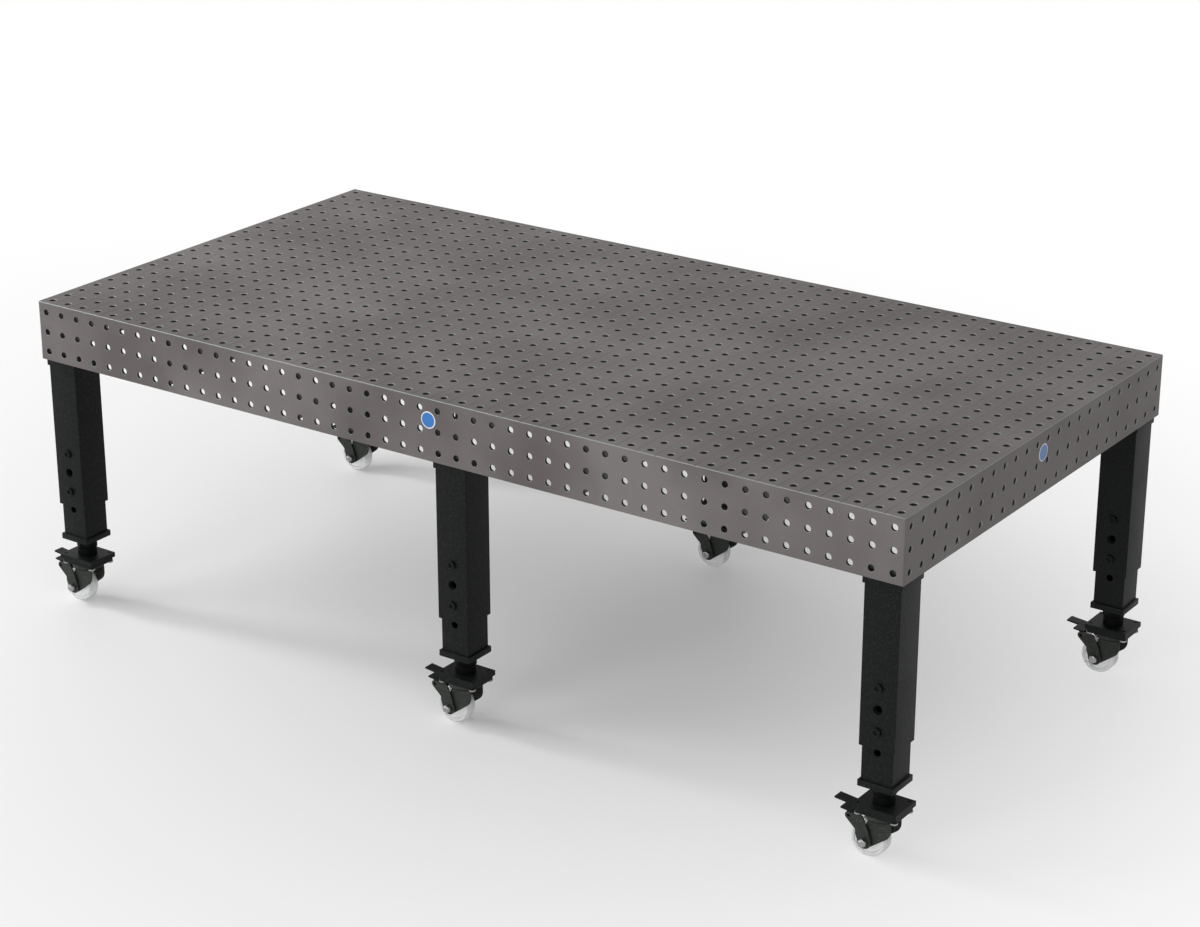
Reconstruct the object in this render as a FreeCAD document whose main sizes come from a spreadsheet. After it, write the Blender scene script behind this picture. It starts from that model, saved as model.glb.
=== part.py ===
"""Welding fixture table: a perforated steel box on six telescopic legs with locking casters.

The origin lies on the floor under the middle of the top. X runs along the table, Y to its back
and Z up. All sizes are in millimetres and angles in degrees.
"""
import FreeCAD, Part
import os
import Sketcher

Vector = FreeCAD.Vector
Rotation = FreeCAD.Rotation
doc = FreeCAD.newDocument("fixture_table")

# Driving dimensions
SIZES = {
    # Perforated box
    "table_length": 2400,
    "table_width": 1200,
    "table_height": 800,
    "plate_thickness": 8,
    "apron_thickness": 7,
    "apron_drop": 147,
    "hole_pitch": 50,
    "hole_diameter": 16,
    "apron_rows": 3,
    # Cross ribs under the top
    "rib_pitch": 400,
    "rib_thickness": 6,
    "rib_depth": 132,
    "rib_opening": 50,
    "rib_opening_pitch": 150,
    "rib_opening_drop": 60,
    # Leg sockets, each a seat plate over a square collar
    "seat_drop": 128,
    "seat_thickness": 8,
    "seat_reach": 47,
    "socket_side": 92,
    "socket_lip": 17.5,
    "socket_clearance": 0.3,
    "seat_bolt_diameter": 16,
    "seat_bolt_flats": 24,
    "seat_bolt_head": 10,
    # Outer sleeves of the legs and their clamp screws
    "sleeve_side": 85,
    "sleeve_wall": 4.5,
    "sleeve_length": 394,
    "sleeve_cap": 10,
    "pin_hole": 22,
    "pin_height": 90,
    "pin_pitch": 50,
    "screw_diameter": 12,
    "screw_head": 20,
    "screw_head_height": 6,
    "screw_socket_flats": 10,
    "screw_socket_depth": 4,
    # Telescopic inner legs with their foot plates
    "slide_clearance": 0.5,
    "inner_wall": 4,
    "inner_overlap": 200,
    "inner_hole": 17,
    "inner_hole_count": 5,
    "foot_side": 85,
    "foot_thickness": 15,
    # Threaded stems with carrier plate and lock nut
    "stud_diameter": 30,
    "stud_tail": 20,
    "thread_clearance": 0.15,
    "lock_nut_flats": 46,
    "lock_nut_height": 24,
    "boss_diameter": 48,
    "boss_height": 20,
    "carrier_length": 105,
    "carrier_width": 85,
    "carrier_thickness": 12,
    # Caster top plates, raceways and plate bolts
    "caster_height": 118.5,
    "caster_plate_length": 100,
    "caster_plate_width": 81,
    "caster_plate_thickness": 9.5,
    "caster_plate_corner": 8,
    "raceway_diameter": 80,
    "raceway_height": 10.7,
    "kingpin_diameter": 16,
    "kingpin_cover": 2.5,
    "bolt_spacing_long": 86,
    "bolt_spacing_wide": 64,
    "bolt_diameter": 8,
    "bolt_clearance": 0.25,
    "bolt_head": 16.5,
    "bolt_head_height": 4.5,
    "bolt_recess": 2,
    "running_clearance": 0.05,
    "swivel_gap": 0.3,
    # Swivel forks with their brake cheeks
    "fork_gap": 41,
    "fork_gauge": 3.5,
    "crown_front": 31,
    "crown_rear": 20,
    "fork_rake": 37,
    "shoulder_round": 24,
    "axle_boss": 34,
    "spacer_diameter": 28,
    "cheek_offset": 4,
    "cheek_gauge": 3,
    "cheek_tip": 17,
    "cheek_gap": 14,
    "cheek_waist": 20,
    "cheek_back": 49.5,
    "cheek_shoulder": 27,
    "pivot_reach": 66.5,
    "pivot_height": 92,
    "pivot_diameter": 8,
    # Wheels and axles
    "wheel_diameter": 84,
    "wheel_width": 34,
    "wheel_edge": 5,
    "wheel_rim": 10,
    "wheel_recess": 4,
    "hub_diameter": 34,
    "hub_play": 0.5,
    "trail": 27.5,
    "axle_diameter": 12,
    "axle_nut_flats": 18,
    "axle_nut_height": 12,
    "axle_head_height": 7.5,
    "axle_tail": 2,
    # Double brake pedals with their shoes
    "pedal_barrel": 14,
    "pedal_gauge": 4,
    "pedal_half_width": 27,
    "pedal_root": 60,
    "pedal_root_height": 102,
    "pedal_tilt": 5.8,
    "pedal_travel": 15,
    "long_pedal_reach": 119.5,
    "short_pedal_reach": 89,
    "shoe_width": 24,
    "shoe_thickness": 8,
    "shoe_gap": 1,
    "shoe_lead": 8,
    # Blank round badges on the aprons
    "badge_diameter": 40,
    "badge_thickness": 1,
}

sheet = doc.addObject("Spreadsheet::Sheet", "sizes")
for row, (alias, size) in enumerate(SIZES.items(), start=1):
    sheet.set("A%d" % row, alias.replace("_", " "))
    sheet.set("B%d" % row, str(size))
    sheet.setAlias("B%d" % row, alias)
doc.recompute()

# Levels above the floor and distances that several pieces share, as expressions on the sheet
TOP_UNDER = "(sizes.table_height - sizes.plate_thickness)"
APRON_FOOT = "(sizes.table_height - sizes.apron_drop)"
RIB_SPAN = "(sizes.table_width - 2 * sizes.apron_thickness)"
SEAT_TOP = "(sizes.table_height - sizes.seat_drop)"
SEAT_UNDER = f"({SEAT_TOP} - sizes.seat_thickness)"
SOCKET_FOOT = f"({APRON_FOOT} - sizes.socket_lip)"
SOCKET_BORE = "(sizes.sleeve_side + 2 * sizes.socket_clearance)"
SLEEVE_FOOT = f"({SEAT_UNDER} - sizes.sleeve_length)"
SLEEVE_BORE = "(sizes.sleeve_side - 2 * sizes.sleeve_wall)"
SLEEVE_FACE = "(sizes.sleeve_side / 2)"
PIN_LEVEL = f"({SLEEVE_FOOT} + sizes.pin_height)"
INNER_SIDE = f"({SLEEVE_BORE} - 2 * sizes.slide_clearance)"
INNER_HEAD = f"({PIN_LEVEL} + sizes.inner_overlap)"
CARRIER_TOP = "(sizes.caster_height + sizes.carrier_thickness)"
BOSS_TOP = f"({CARRIER_TOP} + sizes.boss_height)"
FOOT_UNDER = f"({BOSS_TOP} + sizes.lock_nut_height)"
FOOT_TOP = f"({FOOT_UNDER} + sizes.foot_thickness)"
STUD_BORE = "(sizes.stud_diameter + 2 * sizes.thread_clearance)"
BOLT_BORE = "(sizes.bolt_diameter + 2 * sizes.bolt_clearance)"
PLATE_UNDER = "(sizes.caster_height - sizes.caster_plate_thickness)"
RACEWAY_UNDER = f"({PLATE_UNDER} - sizes.raceway_height)"
KINGPIN_ROOF = "(sizes.caster_height - sizes.kingpin_cover)"
CROWN_TOP = f"({RACEWAY_UNDER} - sizes.swivel_gap)"
CROWN_UNDER = f"({CROWN_TOP} - sizes.fork_gauge)"
FORK_FACE = "(sizes.fork_gap / 2 + sizes.fork_gauge)"
CHEEK_INNER = f"({FORK_FACE} + sizes.cheek_offset)"
CHEEK_FACE = f"({CHEEK_INNER} + sizes.cheek_gauge)"
AXLE_HEIGHT = "(sizes.wheel_diameter / 2)"
AXLE_BORE = "(sizes.axle_diameter + 2 * sizes.running_clearance)"
PIVOT_BORE = "(sizes.pivot_diameter + 2 * sizes.running_clearance)"
BOSS_RADIUS = "(sizes.axle_boss / 2)"
LEG_Y = "(sizes.table_width / 2 - sizes.apron_thickness - sizes.seat_reach)"
LEG_END_X = "(sizes.table_length / 2 - sizes.apron_thickness - sizes.socket_side / 2)"
LEG_MIDDLE_X = "(sizes.rib_thickness / 2 + sizes.socket_side / 2)"
OVERSHOOT = "1"

LEGS = {
    "front_left": (f"-{LEG_END_X}", f"-{LEG_Y}"),
    "front_middle": (LEG_MIDDLE_X, f"-{LEG_Y}"),
    "front_right": (LEG_END_X, f"-{LEG_Y}"),
    "rear_left": (f"-{LEG_END_X}", LEG_Y),
    "rear_middle": (LEG_MIDDLE_X, LEG_Y),
    "rear_right": (LEG_END_X, LEG_Y),
}
ALONG = {
    "X": Rotation(Vector(0, 1, 0), 90),
    "Y": Rotation(Vector(1, 0, 0), -90),
    "Z": Rotation(),
}
nodes = []
pockets = []


def number(expression):
    """The present value of an expression on the sheet."""
    value = sheet.evalExpression(expression)
    return getattr(value, "Value", value)


def move(thing, x="0", y="0", z="0", turn=Rotation()):
    """Turn a piece, then tie its place to the sheet."""
    thing.Placement = FreeCAD.Placement(Vector(), turn)
    for axis, expression in zip("xyz", (x, y, z)):
        thing.setExpression("Placement.Base." + axis, expression)
    return thing


def box(name, corner, size):
    """A block from its lowest corner."""
    block = doc.addObject("Part::Box", name)
    for side, expression in zip(("Length", "Width", "Height"), size):
        block.setExpression(side, expression)
    return move(block, *corner)


def column(name, length, width, low, high):
    """A block centred on the vertical axis, between two levels."""
    corner = (f"-({length}) / 2", f"-({width}) / 2", low)
    return box(name, corner, (length, width, f"{high} - {low}"))


def rod(name, diameter, start, length, along="Z"):
    """A round bar from its start along one axis."""
    bar = doc.addObject("Part::Cylinder", name)
    bar.setExpression("Radius", f"({diameter}) / 2")
    bar.setExpression("Height", length)
    return move(bar, *start, turn=ALONG[along])


def hexagon(name, flats, start, height, along="Z"):
    """A six-sided bar, as wide across its flats as given."""
    prism = doc.addObject("Part::Prism", name)
    prism.Polygon = 6
    prism.setExpression("Circumradius", f"({flats}) / 2 / cos(30)")
    prism.setExpression("Height", height)
    return move(prism, *start, turn=ALONG[along])


def fuse(name, members, refine=True):
    """One solid from pieces that are welded or formed together."""
    whole = doc.addObject("Part::MultiFuse", name)
    whole.Shapes = members
    whole.Refine = refine
    return whole


def group(name, members):
    """Separate solids kept side by side."""
    bundle = doc.addObject("Part::Compound", name)
    bundle.Links = members
    return bundle


def cut(name, base, tools, refine=True):
    """A piece with other shapes taken out of it."""
    rest = doc.addObject("Part::Cut", name)
    rest.Base = base
    rest.Refine = refine
    rest.Tool = group(name + "_tools", tools) if len(tools) > 1 else tools[0]
    return rest


def placed(name, pattern, x="0", y="0", z="0", turn=Rotation()):
    """A copy of a pattern piece in its own place."""
    return move(group(name, [pattern]), x, y, z, turn)


def node(thing, label):
    """Keep a finished piece for the hand-out under its own label."""
    thing.Label = label
    nodes.append(thing)
    return thing


def plane(body, role):
    """One of a body's own origin planes."""
    return next(feature for feature in body.Origin.OriginFeatures if feature.Role == role)


def sketch_on(body, name, role):
    """An empty sketch on one of the body's origin planes."""
    sketch = body.newObject("Sketcher::SketchObject", name)
    sketch.AttachmentSupport = (plane(body, role), [""])
    sketch.MapMode = "FlatFace"
    return sketch


def pin_point(sketch, element, vertex, place):
    """Tie one sketch point to the sheet by its two distances from the origin."""
    for kind, expression in zip(("DistanceX", "DistanceY"), place):
        rule = Sketcher.Constraint(kind, -1, 1, element, vertex, number(expression))
        index = sketch.addConstraint(rule)
        sketch.setExpression("Constraints[%d]" % index, expression)


def outline(body, name, role, corners):
    """A closed outline of straight edges with every corner tied to the sheet."""
    sketch = sketch_on(body, name, role)
    points = [Vector(number(u), number(v), 0) for u, v in corners]
    count = len(points)
    for edge in range(count):
        line = Part.LineSegment(points[edge], points[(edge + 1) % count])
        sketch.addGeometry(line, False)
    for edge in range(count):
        meeting = Sketcher.Constraint("Coincident", edge, 2, (edge + 1) % count, 1)
        sketch.addConstraint(meeting)
    for edge, corner in enumerate(corners):
        pin_point(sketch, edge, 1, corner)
    return sketch


def ring(body, name, role, centre, diameter):
    """A circle with its centre and size tied to the sheet."""
    sketch = sketch_on(body, name, role)
    middle = Vector(number(centre[0]), number(centre[1]), 0)
    radius = f"({diameter}) / 2"
    sketch.addGeometry(Part.Circle(middle, Vector(0, 0, 1), number(radius)), False)
    pin_point(sketch, 0, 3, centre)
    index = sketch.addConstraint(Sketcher.Constraint("Radius", 0, number(radius)))
    sketch.setExpression("Constraints[%d]" % index, radius)
    return sketch


def pad(body, sketch, length):
    """Thicken a sketch along its normal."""
    feature = body.newObject("PartDesign::Pad", sketch.Name + "_pad")
    feature.Profile = sketch
    feature.setExpression("Length", length)
    return feature


def round_off(body, feature, corners, radius):
    """Round the edges that stand on the given corners of a padded outline."""
    doc.recompute()
    turn = feature.Profile[0].Placement.Rotation
    rise = turn.multVec(Vector(0, 0, 1))
    feet = [turn.multVec(Vector(number(u), number(v), 0)) for u, v in corners]
    edges = []
    for index, edge in enumerate(feature.Shape.Edges, start=1):
        ends = [vertex.Point for vertex in edge.Vertexes]
        stands = abs((ends[1] - ends[0]).dot(rise)) > 0.1
        if stands and any(end.distanceToPoint(foot) < 0.01 for end in ends for foot in feet):
            edges.append("Edge%d" % index)
    rounding = body.newObject("PartDesign::Fillet", feature.Name + "_round")
    rounding.Base = (feature, edges)
    rounding.setExpression("Radius", radius)
    return rounding


def pocket(body, sketch):
    """Cut a sketch right through the pad that starts on the same plane."""
    feature = body.newObject("PartDesign::Pocket", sketch.Name + "_pocket")
    feature.Profile = sketch
    feature.Type = "ThroughAll"
    feature.Reversed = True
    pockets.append(feature)
    return feature


def repeat(body, name, sketch, axis, count, pitch, backwards=False):
    """A straight row of copies along one axis of a sketch."""
    row = body.newObject("PartDesign::LinearPattern", name)
    row.Direction = (sketch, [axis])
    row.Reversed = backwards
    row.setExpression("Length", f"({count} - 1) * {pitch}")
    row.setExpression("Occurrences", count)
    return row


def fixture_columns(run):
    """How many fixture holes fit along a side of the table."""
    return f"floor({run} / sizes.hole_pitch)"


def first_hole(run):
    """Where the row of fixture holes along a side of the table starts."""
    return f"-({fixture_columns(run)} - 1) * sizes.hole_pitch / 2"


def rib_places():
    """The ribs stand at even steps to both sides of the middle."""
    reach = int(number("ceil(sizes.table_length / 2 / sizes.rib_pitch)"))
    return [f"{step} * sizes.rib_pitch" for step in range(1 - reach, reach)]


# Perforated top plate, laid out bay by bay between the ribs
def top_plate():
    edges = ["-sizes.table_length / 2"] + rib_places() + ["sizes.table_length / 2"]
    bays = []
    for index in range(len(edges) - 1):
        corner = (edges[index], "-sizes.table_width / 2", TOP_UNDER)
        run = f"({edges[index + 1]}) - ({edges[index]})"
        bays.append(box("bay_%d" % index, corner, (run, "sizes.table_width", "sizes.plate_thickness")))
    blank = fuse("top_blank", bays, refine=False)
    pitch = number("sizes.hole_pitch")
    low = number(f"{TOP_UNDER} - {OVERSHOOT}")
    height = number(f"sizes.plate_thickness + 2 * {OVERSHOOT}")
    start = Vector(number(first_hole("sizes.table_length")), number(first_hole("sizes.table_width")), low)
    holes = []
    for along in range(int(number(fixture_columns("sizes.table_length")))):
        for across in range(int(number(fixture_columns("sizes.table_width")))):
            place = start + Vector(along * pitch, across * pitch, 0)
            holes.append(Part.makeCylinder(number("sizes.hole_diameter / 2"), height, place))
    drill = doc.addObject("Part::Feature", "fixture_holes")
    drill.Shape = Part.makeCompound(holes)
    node(cut("top_plate", blank, [drill], refine=False), "top_plate")


# Aprons with rows of fixture holes under the edges of the top
def apron(name, role, run, side, x="0", y="0"):
    body = doc.addObject("PartDesign::Body", name)
    half = f"({run}) / 2"
    corners = [(f"-{half}", APRON_FOOT), (half, APRON_FOOT), (half, TOP_UNDER), (f"-{half}", TOP_UNDER)]
    pad(body, outline(body, name + "_outline", role, corners), "sizes.apron_thickness")
    start = (first_hole(side), "sizes.table_height - sizes.hole_pitch / 2")
    corner_hole = ring(body, name + "_hole", role, start, "sizes.hole_diameter")
    first = pocket(body, corner_hole)
    grid = body.newObject("PartDesign::MultiTransform", name + "_grid")
    grid.Originals = [first]
    columns = fixture_columns(side)
    grid.Transformations = [
        repeat(body, name + "_columns", corner_hole, "H_Axis", columns, "sizes.hole_pitch"),
        repeat(body, name + "_rows", corner_hole, "V_Axis", "sizes.apron_rows", "sizes.hole_pitch", True),
    ]
    body.Tip = grid
    node(move(body, x, y), name)


def aprons():
    inner_x = "sizes.table_length / 2 - sizes.apron_thickness"
    inner_y = "sizes.table_width / 2 - sizes.apron_thickness"
    length, width = "sizes.table_length", "sizes.table_width"
    apron("front_apron", "XZ_Plane", length, length, y=f"-({inner_y})")
    apron("rear_apron", "XZ_Plane", length, length, y="sizes.table_width / 2")
    apron("left_apron", "YZ_Plane", RIB_SPAN, width, x="-sizes.table_length / 2")
    apron("right_apron", "YZ_Plane", RIB_SPAN, width, x=inner_x)


# Cross ribs with a row of round openings
def cross_ribs():
    body = doc.addObject("PartDesign::Body", "rib")
    half = f"{RIB_SPAN} / 2"
    foot = f"{TOP_UNDER} - sizes.rib_depth"
    corners = [(f"-{half}", foot), (half, foot), (half, TOP_UNDER), (f"-{half}", TOP_UNDER)]
    pad(body, outline(body, "rib_outline", "YZ_Plane", corners), "sizes.rib_thickness")
    count = f"(2 * floor(({half} - sizes.rib_opening) / sizes.rib_opening_pitch + 0.5))"
    start = (f"-({count} - 1) * sizes.rib_opening_pitch / 2", f"{TOP_UNDER} - sizes.rib_opening_drop")
    opening = ring(body, "rib_opening_ring", "YZ_Plane", start, "sizes.rib_opening")
    first = pocket(body, opening)
    row = repeat(body, "rib_openings", opening, "H_Axis", count, "sizes.rib_opening_pitch")
    row.Originals = [first]
    body.Tip = row
    ribs = []
    for index, place in enumerate(rib_places()):
        ribs.append(placed("rib_%d" % index, body, x=f"{place} - sizes.rib_thickness / 2"))
    node(group("cross_ribs", ribs), "cross_ribs")


# Leg sockets, welded to the aprons and to the middle rib
def socket_pattern():
    half = "sizes.socket_side / 2"
    seat_corner = (f"-{half}", "-sizes.seat_reach", SEAT_UNDER)
    seat_size = ("sizes.socket_side", f"sizes.seat_reach + {half}", "sizes.seat_thickness")
    seat = box("socket_seat", seat_corner, seat_size)
    collar = column("socket_collar", "sizes.socket_side", "sizes.socket_side", SOCKET_FOOT, SEAT_UNDER)
    bore = column("socket_bore", SOCKET_BORE, SOCKET_BORE, f"({SOCKET_FOOT} - {OVERSHOOT})", SEAT_UNDER)
    start = ("0", "0", f"{SEAT_UNDER} - {OVERSHOOT}")
    hole = rod("seat_hole", seat_bolt_bore(), start, f"sizes.seat_thickness + 2 * {OVERSHOOT}")
    return cut("socket", fuse("socket_blank", [seat, collar]), [bore, hole])


def seat_bolt_bore():
    """Clear hole for the bolt that holds a sleeve up to its seat."""
    return "sizes.seat_bolt_diameter + 2 * sizes.thread_clearance"


# Outer sleeves, closed by a threaded cap at the top
def sleeve_pattern():
    tube = column("sleeve_tube", "sizes.sleeve_side", "sizes.sleeve_side", SLEEVE_FOOT, SEAT_UNDER)
    low = f"({SLEEVE_FOOT} - {OVERSHOOT})"
    cavity = column("sleeve_cavity", SLEEVE_BORE, SLEEVE_BORE, low, f"({SEAT_UNDER} - sizes.sleeve_cap)")
    front = f"-{SLEEVE_FACE} - {OVERSHOOT}"
    through = f"sizes.sleeve_side + 2 * {OVERSHOOT}"
    tools = [cavity, rod("sleeve_pin_hole", "sizes.pin_hole", ("0", front, PIN_LEVEL), through, "Y")]
    for index, level in enumerate(screw_levels()):
        bore = "sizes.screw_diameter + 2 * sizes.running_clearance"
        depth = f"sizes.sleeve_wall + 2 * {OVERSHOOT}"
        tools.append(rod("screw_hole_%d" % index, bore, ("0", front, level), depth, "Y"))
    cap = ("0", "0", f"{SEAT_UNDER} - sizes.sleeve_cap - {OVERSHOOT}")
    tools.append(rod("cap_hole", seat_bolt_bore(), cap, f"sizes.sleeve_cap + 2 * {OVERSHOOT}"))
    return cut("sleeve", tube, tools)


def screw_levels():
    """One clamp screw above and one below the pin hole."""
    return [f"({PIN_LEVEL} + sizes.pin_pitch)", f"({PIN_LEVEL} - sizes.pin_pitch)"]


# Clamp screws with a hexagon socket, bearing on the inner leg
def screw_pattern():
    face = f"(-{SLEEVE_FACE})"
    front = ("0", f"{face} - sizes.screw_head_height", "0")
    head = rod("screw_head_bar", "sizes.screw_head", front, "sizes.screw_head_height", "Y")
    length = "sizes.sleeve_wall + sizes.slide_clearance / 2"
    shank = rod("screw_shank", "sizes.screw_diameter", ("0", face, "0"), length, "Y")
    key = hexagon("screw_key", "sizes.screw_socket_flats", front, "sizes.screw_socket_depth", "Y")
    return cut("screw", fuse("screw_blank", [head, shank]), [key])


# Hexagon bolts that pull the sleeves up against their seats
def seat_bolt_pattern():
    head = hexagon("seat_bolt_hex", "sizes.seat_bolt_flats", ("0", "0", SEAT_TOP), "sizes.seat_bolt_head")
    start = ("0", "0", f"{SEAT_UNDER} - sizes.sleeve_cap")
    length = "sizes.sleeve_cap + sizes.seat_thickness"
    return fuse("seat_bolt", [head, rod("seat_bolt_shank", "sizes.seat_bolt_diameter", start, length)])


def fixed_leg_parts():
    """Sockets, sleeves, seat bolts and clamp screws, which belong to the box."""
    socket, sleeve = socket_pattern(), sleeve_pattern()
    bolt, screw = seat_bolt_pattern(), screw_pattern()
    sockets, sleeves, bolts, screws = [], [], [], []
    for leg, (x, y) in LEGS.items():
        outward = Rotation(Vector(0, 0, 1), 180 if leg.startswith("rear") else 0)
        sockets.append(placed(leg + "_socket", socket, x, y, turn=outward))
        sleeves.append(placed(leg + "_sleeve", sleeve, x, y))
        bolts.append(placed(leg + "_seat_bolt", bolt, x, y))
        for index, level in enumerate(screw_levels()):
            screws.append(placed(f"{leg}_screw_{index}", screw, x, y, level))
    node(group("leg_sockets", sockets), "leg_sockets")
    node(group("leg_sleeves", sleeves), "leg_sleeves")
    node(group("seat_bolts", bolts), "seat_bolts")
    node(group("clamp_screws", screws), "clamp_screws")


# Blank badges at the middle of the front and right aprons
def badges():
    level = "sizes.table_height - sizes.hole_pitch"
    front = ("0", "-sizes.table_width / 2 - sizes.badge_thickness", level)
    right = ("sizes.table_length / 2", "0", level)
    discs = [
        rod("front_badge", "sizes.badge_diameter", front, "sizes.badge_thickness", "Y"),
        rod("right_badge", "sizes.badge_diameter", right, "sizes.badge_thickness", "X"),
    ]
    node(group("badges", discs), "badges")


# Telescopic inner leg: a square tube with a row of pin holes, welded on its foot plate
def inner_leg_pattern():
    tube = column("inner_tube", INNER_SIDE, INNER_SIDE, FOOT_TOP, INNER_HEAD)
    foot = column("inner_foot", "sizes.foot_side", "sizes.foot_side", FOOT_UNDER, FOOT_TOP)
    bore = f"({INNER_SIDE} - 2 * sizes.inner_wall)"
    tools = [column("inner_cavity", bore, bore, FOOT_TOP, f"({INNER_HEAD} + {OVERSHOOT})")]
    front = f"-{INNER_SIDE} / 2 - {OVERSHOOT}"
    for step in range(int(number("sizes.inner_hole_count"))):
        level = f"{PIN_LEVEL} + ({step} - (sizes.inner_hole_count - 1) / 2) * sizes.pin_pitch"
        through = f"{INNER_SIDE} + 2 * {OVERSHOOT}"
        tools.append(rod("inner_pin_hole_%d" % step, "sizes.inner_hole", ("0", front, level), through, "Y"))
    below = ("0", "0", f"{FOOT_UNDER} - {OVERSHOOT}")
    tools.append(rod("foot_bore", STUD_BORE, below, f"sizes.foot_thickness + {OVERSHOOT}"))
    return cut("inner_leg", fuse("inner_blank", [tube, foot]), tools)


# Levelling stem: carrier plate, boss and stud in one, with the lock nut under the foot plate
def stem_pattern():
    length, width = "sizes.carrier_length", "sizes.carrier_width"
    plate = column("carrier", length, width, "sizes.caster_height", CARRIER_TOP)
    boss = rod("stem_boss", "sizes.boss_diameter", ("0", "0", CARRIER_TOP), "sizes.boss_height")
    reach = "sizes.lock_nut_height + sizes.foot_thickness + sizes.stud_tail"
    stud = rod("stem_stud", "sizes.stud_diameter", ("0", "0", BOSS_TOP), reach)
    holes = bolt_holes("carrier", f"sizes.caster_height - {OVERSHOOT}", "sizes.carrier_thickness")
    stem = cut("stem", fuse("stem_blank", [plate, boss, stud]), holes)
    blank = hexagon("lock_nut_hex", "sizes.lock_nut_flats", ("0", "0", BOSS_TOP), "sizes.lock_nut_height")
    thread_start = ("0", "0", f"{BOSS_TOP} - {OVERSHOOT}")
    thread = rod("lock_nut_bore", STUD_BORE, thread_start, f"sizes.lock_nut_height + 2 * {OVERSHOOT}")
    return group("levelling_stem", [stem, cut("lock_nut", blank, [thread])])


def bolt_places():
    """The four corners of the bolt pattern that holds a caster to its carrier plate."""
    half_x, half_y = "sizes.bolt_spacing_long / 2", "sizes.bolt_spacing_wide / 2"
    return [(sx + half_x, sy + half_y) for sx in ("-", "") for sy in ("-", "")]


def bolt_holes(name, low, thickness):
    """Four clear holes through one plate of the bolt pattern."""
    depth = f"{thickness} + 2 * {OVERSHOOT}"
    places = enumerate(bolt_places())
    return [rod(f"{name}_hole_{index}", BOLT_BORE, (x, y, low), depth) for index, (x, y) in places]


# Caster top plate with rounded corners and the fixed half of the swivel under it
def caster_plate_pattern():
    body = doc.addObject("PartDesign::Body", "caster_top")
    half_x, half_y = "sizes.caster_plate_length / 2", "sizes.caster_plate_width / 2"
    corners = [(f"-{half_x}", f"-{half_y}"), (half_x, f"-{half_y}"), (half_x, half_y), (f"-{half_x}", half_y)]
    sketch = outline(body, "caster_top_outline", "XY_Plane", corners)
    sheet_pad = pad(body, sketch, "sizes.caster_plate_thickness")
    round_off(body, sheet_pad, corners, "sizes.caster_plate_corner")
    move(body, z=PLATE_UNDER)
    raceway = rod("raceway", "sizes.raceway_diameter", ("0", "0", RACEWAY_UNDER), "sizes.raceway_height")
    start = ("0", "0", f"{RACEWAY_UNDER} - {OVERSHOOT}")
    bore = "sizes.kingpin_diameter + 2 * sizes.running_clearance"
    seat = rod("kingpin_seat", bore, start, f"{KINGPIN_ROOF} - {RACEWAY_UNDER} + {OVERSHOOT}")
    holes = bolt_holes("caster_plate", f"{PLATE_UNDER} - {OVERSHOOT}", "sizes.caster_plate_thickness")
    return cut("caster_plate", fuse("caster_plate_blank", [body, raceway]), holes + [seat])


# Low-head bolts through the caster plate into the carrier plate
def plate_bolt_pattern():
    under = ("0", "0", f"{PLATE_UNDER} - sizes.bolt_head_height")
    head = rod("plate_bolt_head", "sizes.bolt_head", under, "sizes.bolt_head_height")
    length = f"{CARRIER_TOP} - {PLATE_UNDER} - sizes.bolt_recess"
    shank = rod("plate_bolt_shank", "sizes.bolt_diameter", ("0", "0", PLATE_UNDER), length)
    bolt = fuse("plate_bolt", [head, shank])
    places = enumerate(bolt_places())
    return group("plate_bolts", [placed(f"plate_bolt_{index}", bolt, x, y) for index, (x, y) in places])


def side_plate(name, corners, rounds, gauge, soft=()):
    """A flat plate in the XZ plane with straight edges and round ends, made towards -Y."""
    body = doc.addObject("PartDesign::Body", name)
    flat = pad(body, outline(body, name + "_outline", "XZ_Plane", corners), gauge)
    if soft:
        round_off(body, flat, soft, "sizes.shoulder_round")
    for index, (centre, diameter) in enumerate(rounds):
        pad(body, ring(body, f"{name}_round_{index}", "XZ_Plane", centre, diameter), gauge)
    return body


def both_sides(plate, inner, gauge):
    """The same plate on both sides of the wheel."""
    near = placed(plate.Name + "_near", plate, y=f"-({inner})")
    far = placed(plate.Name + "_far", plate, y=f"({inner}) + {gauge}")
    return [near, far]


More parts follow.
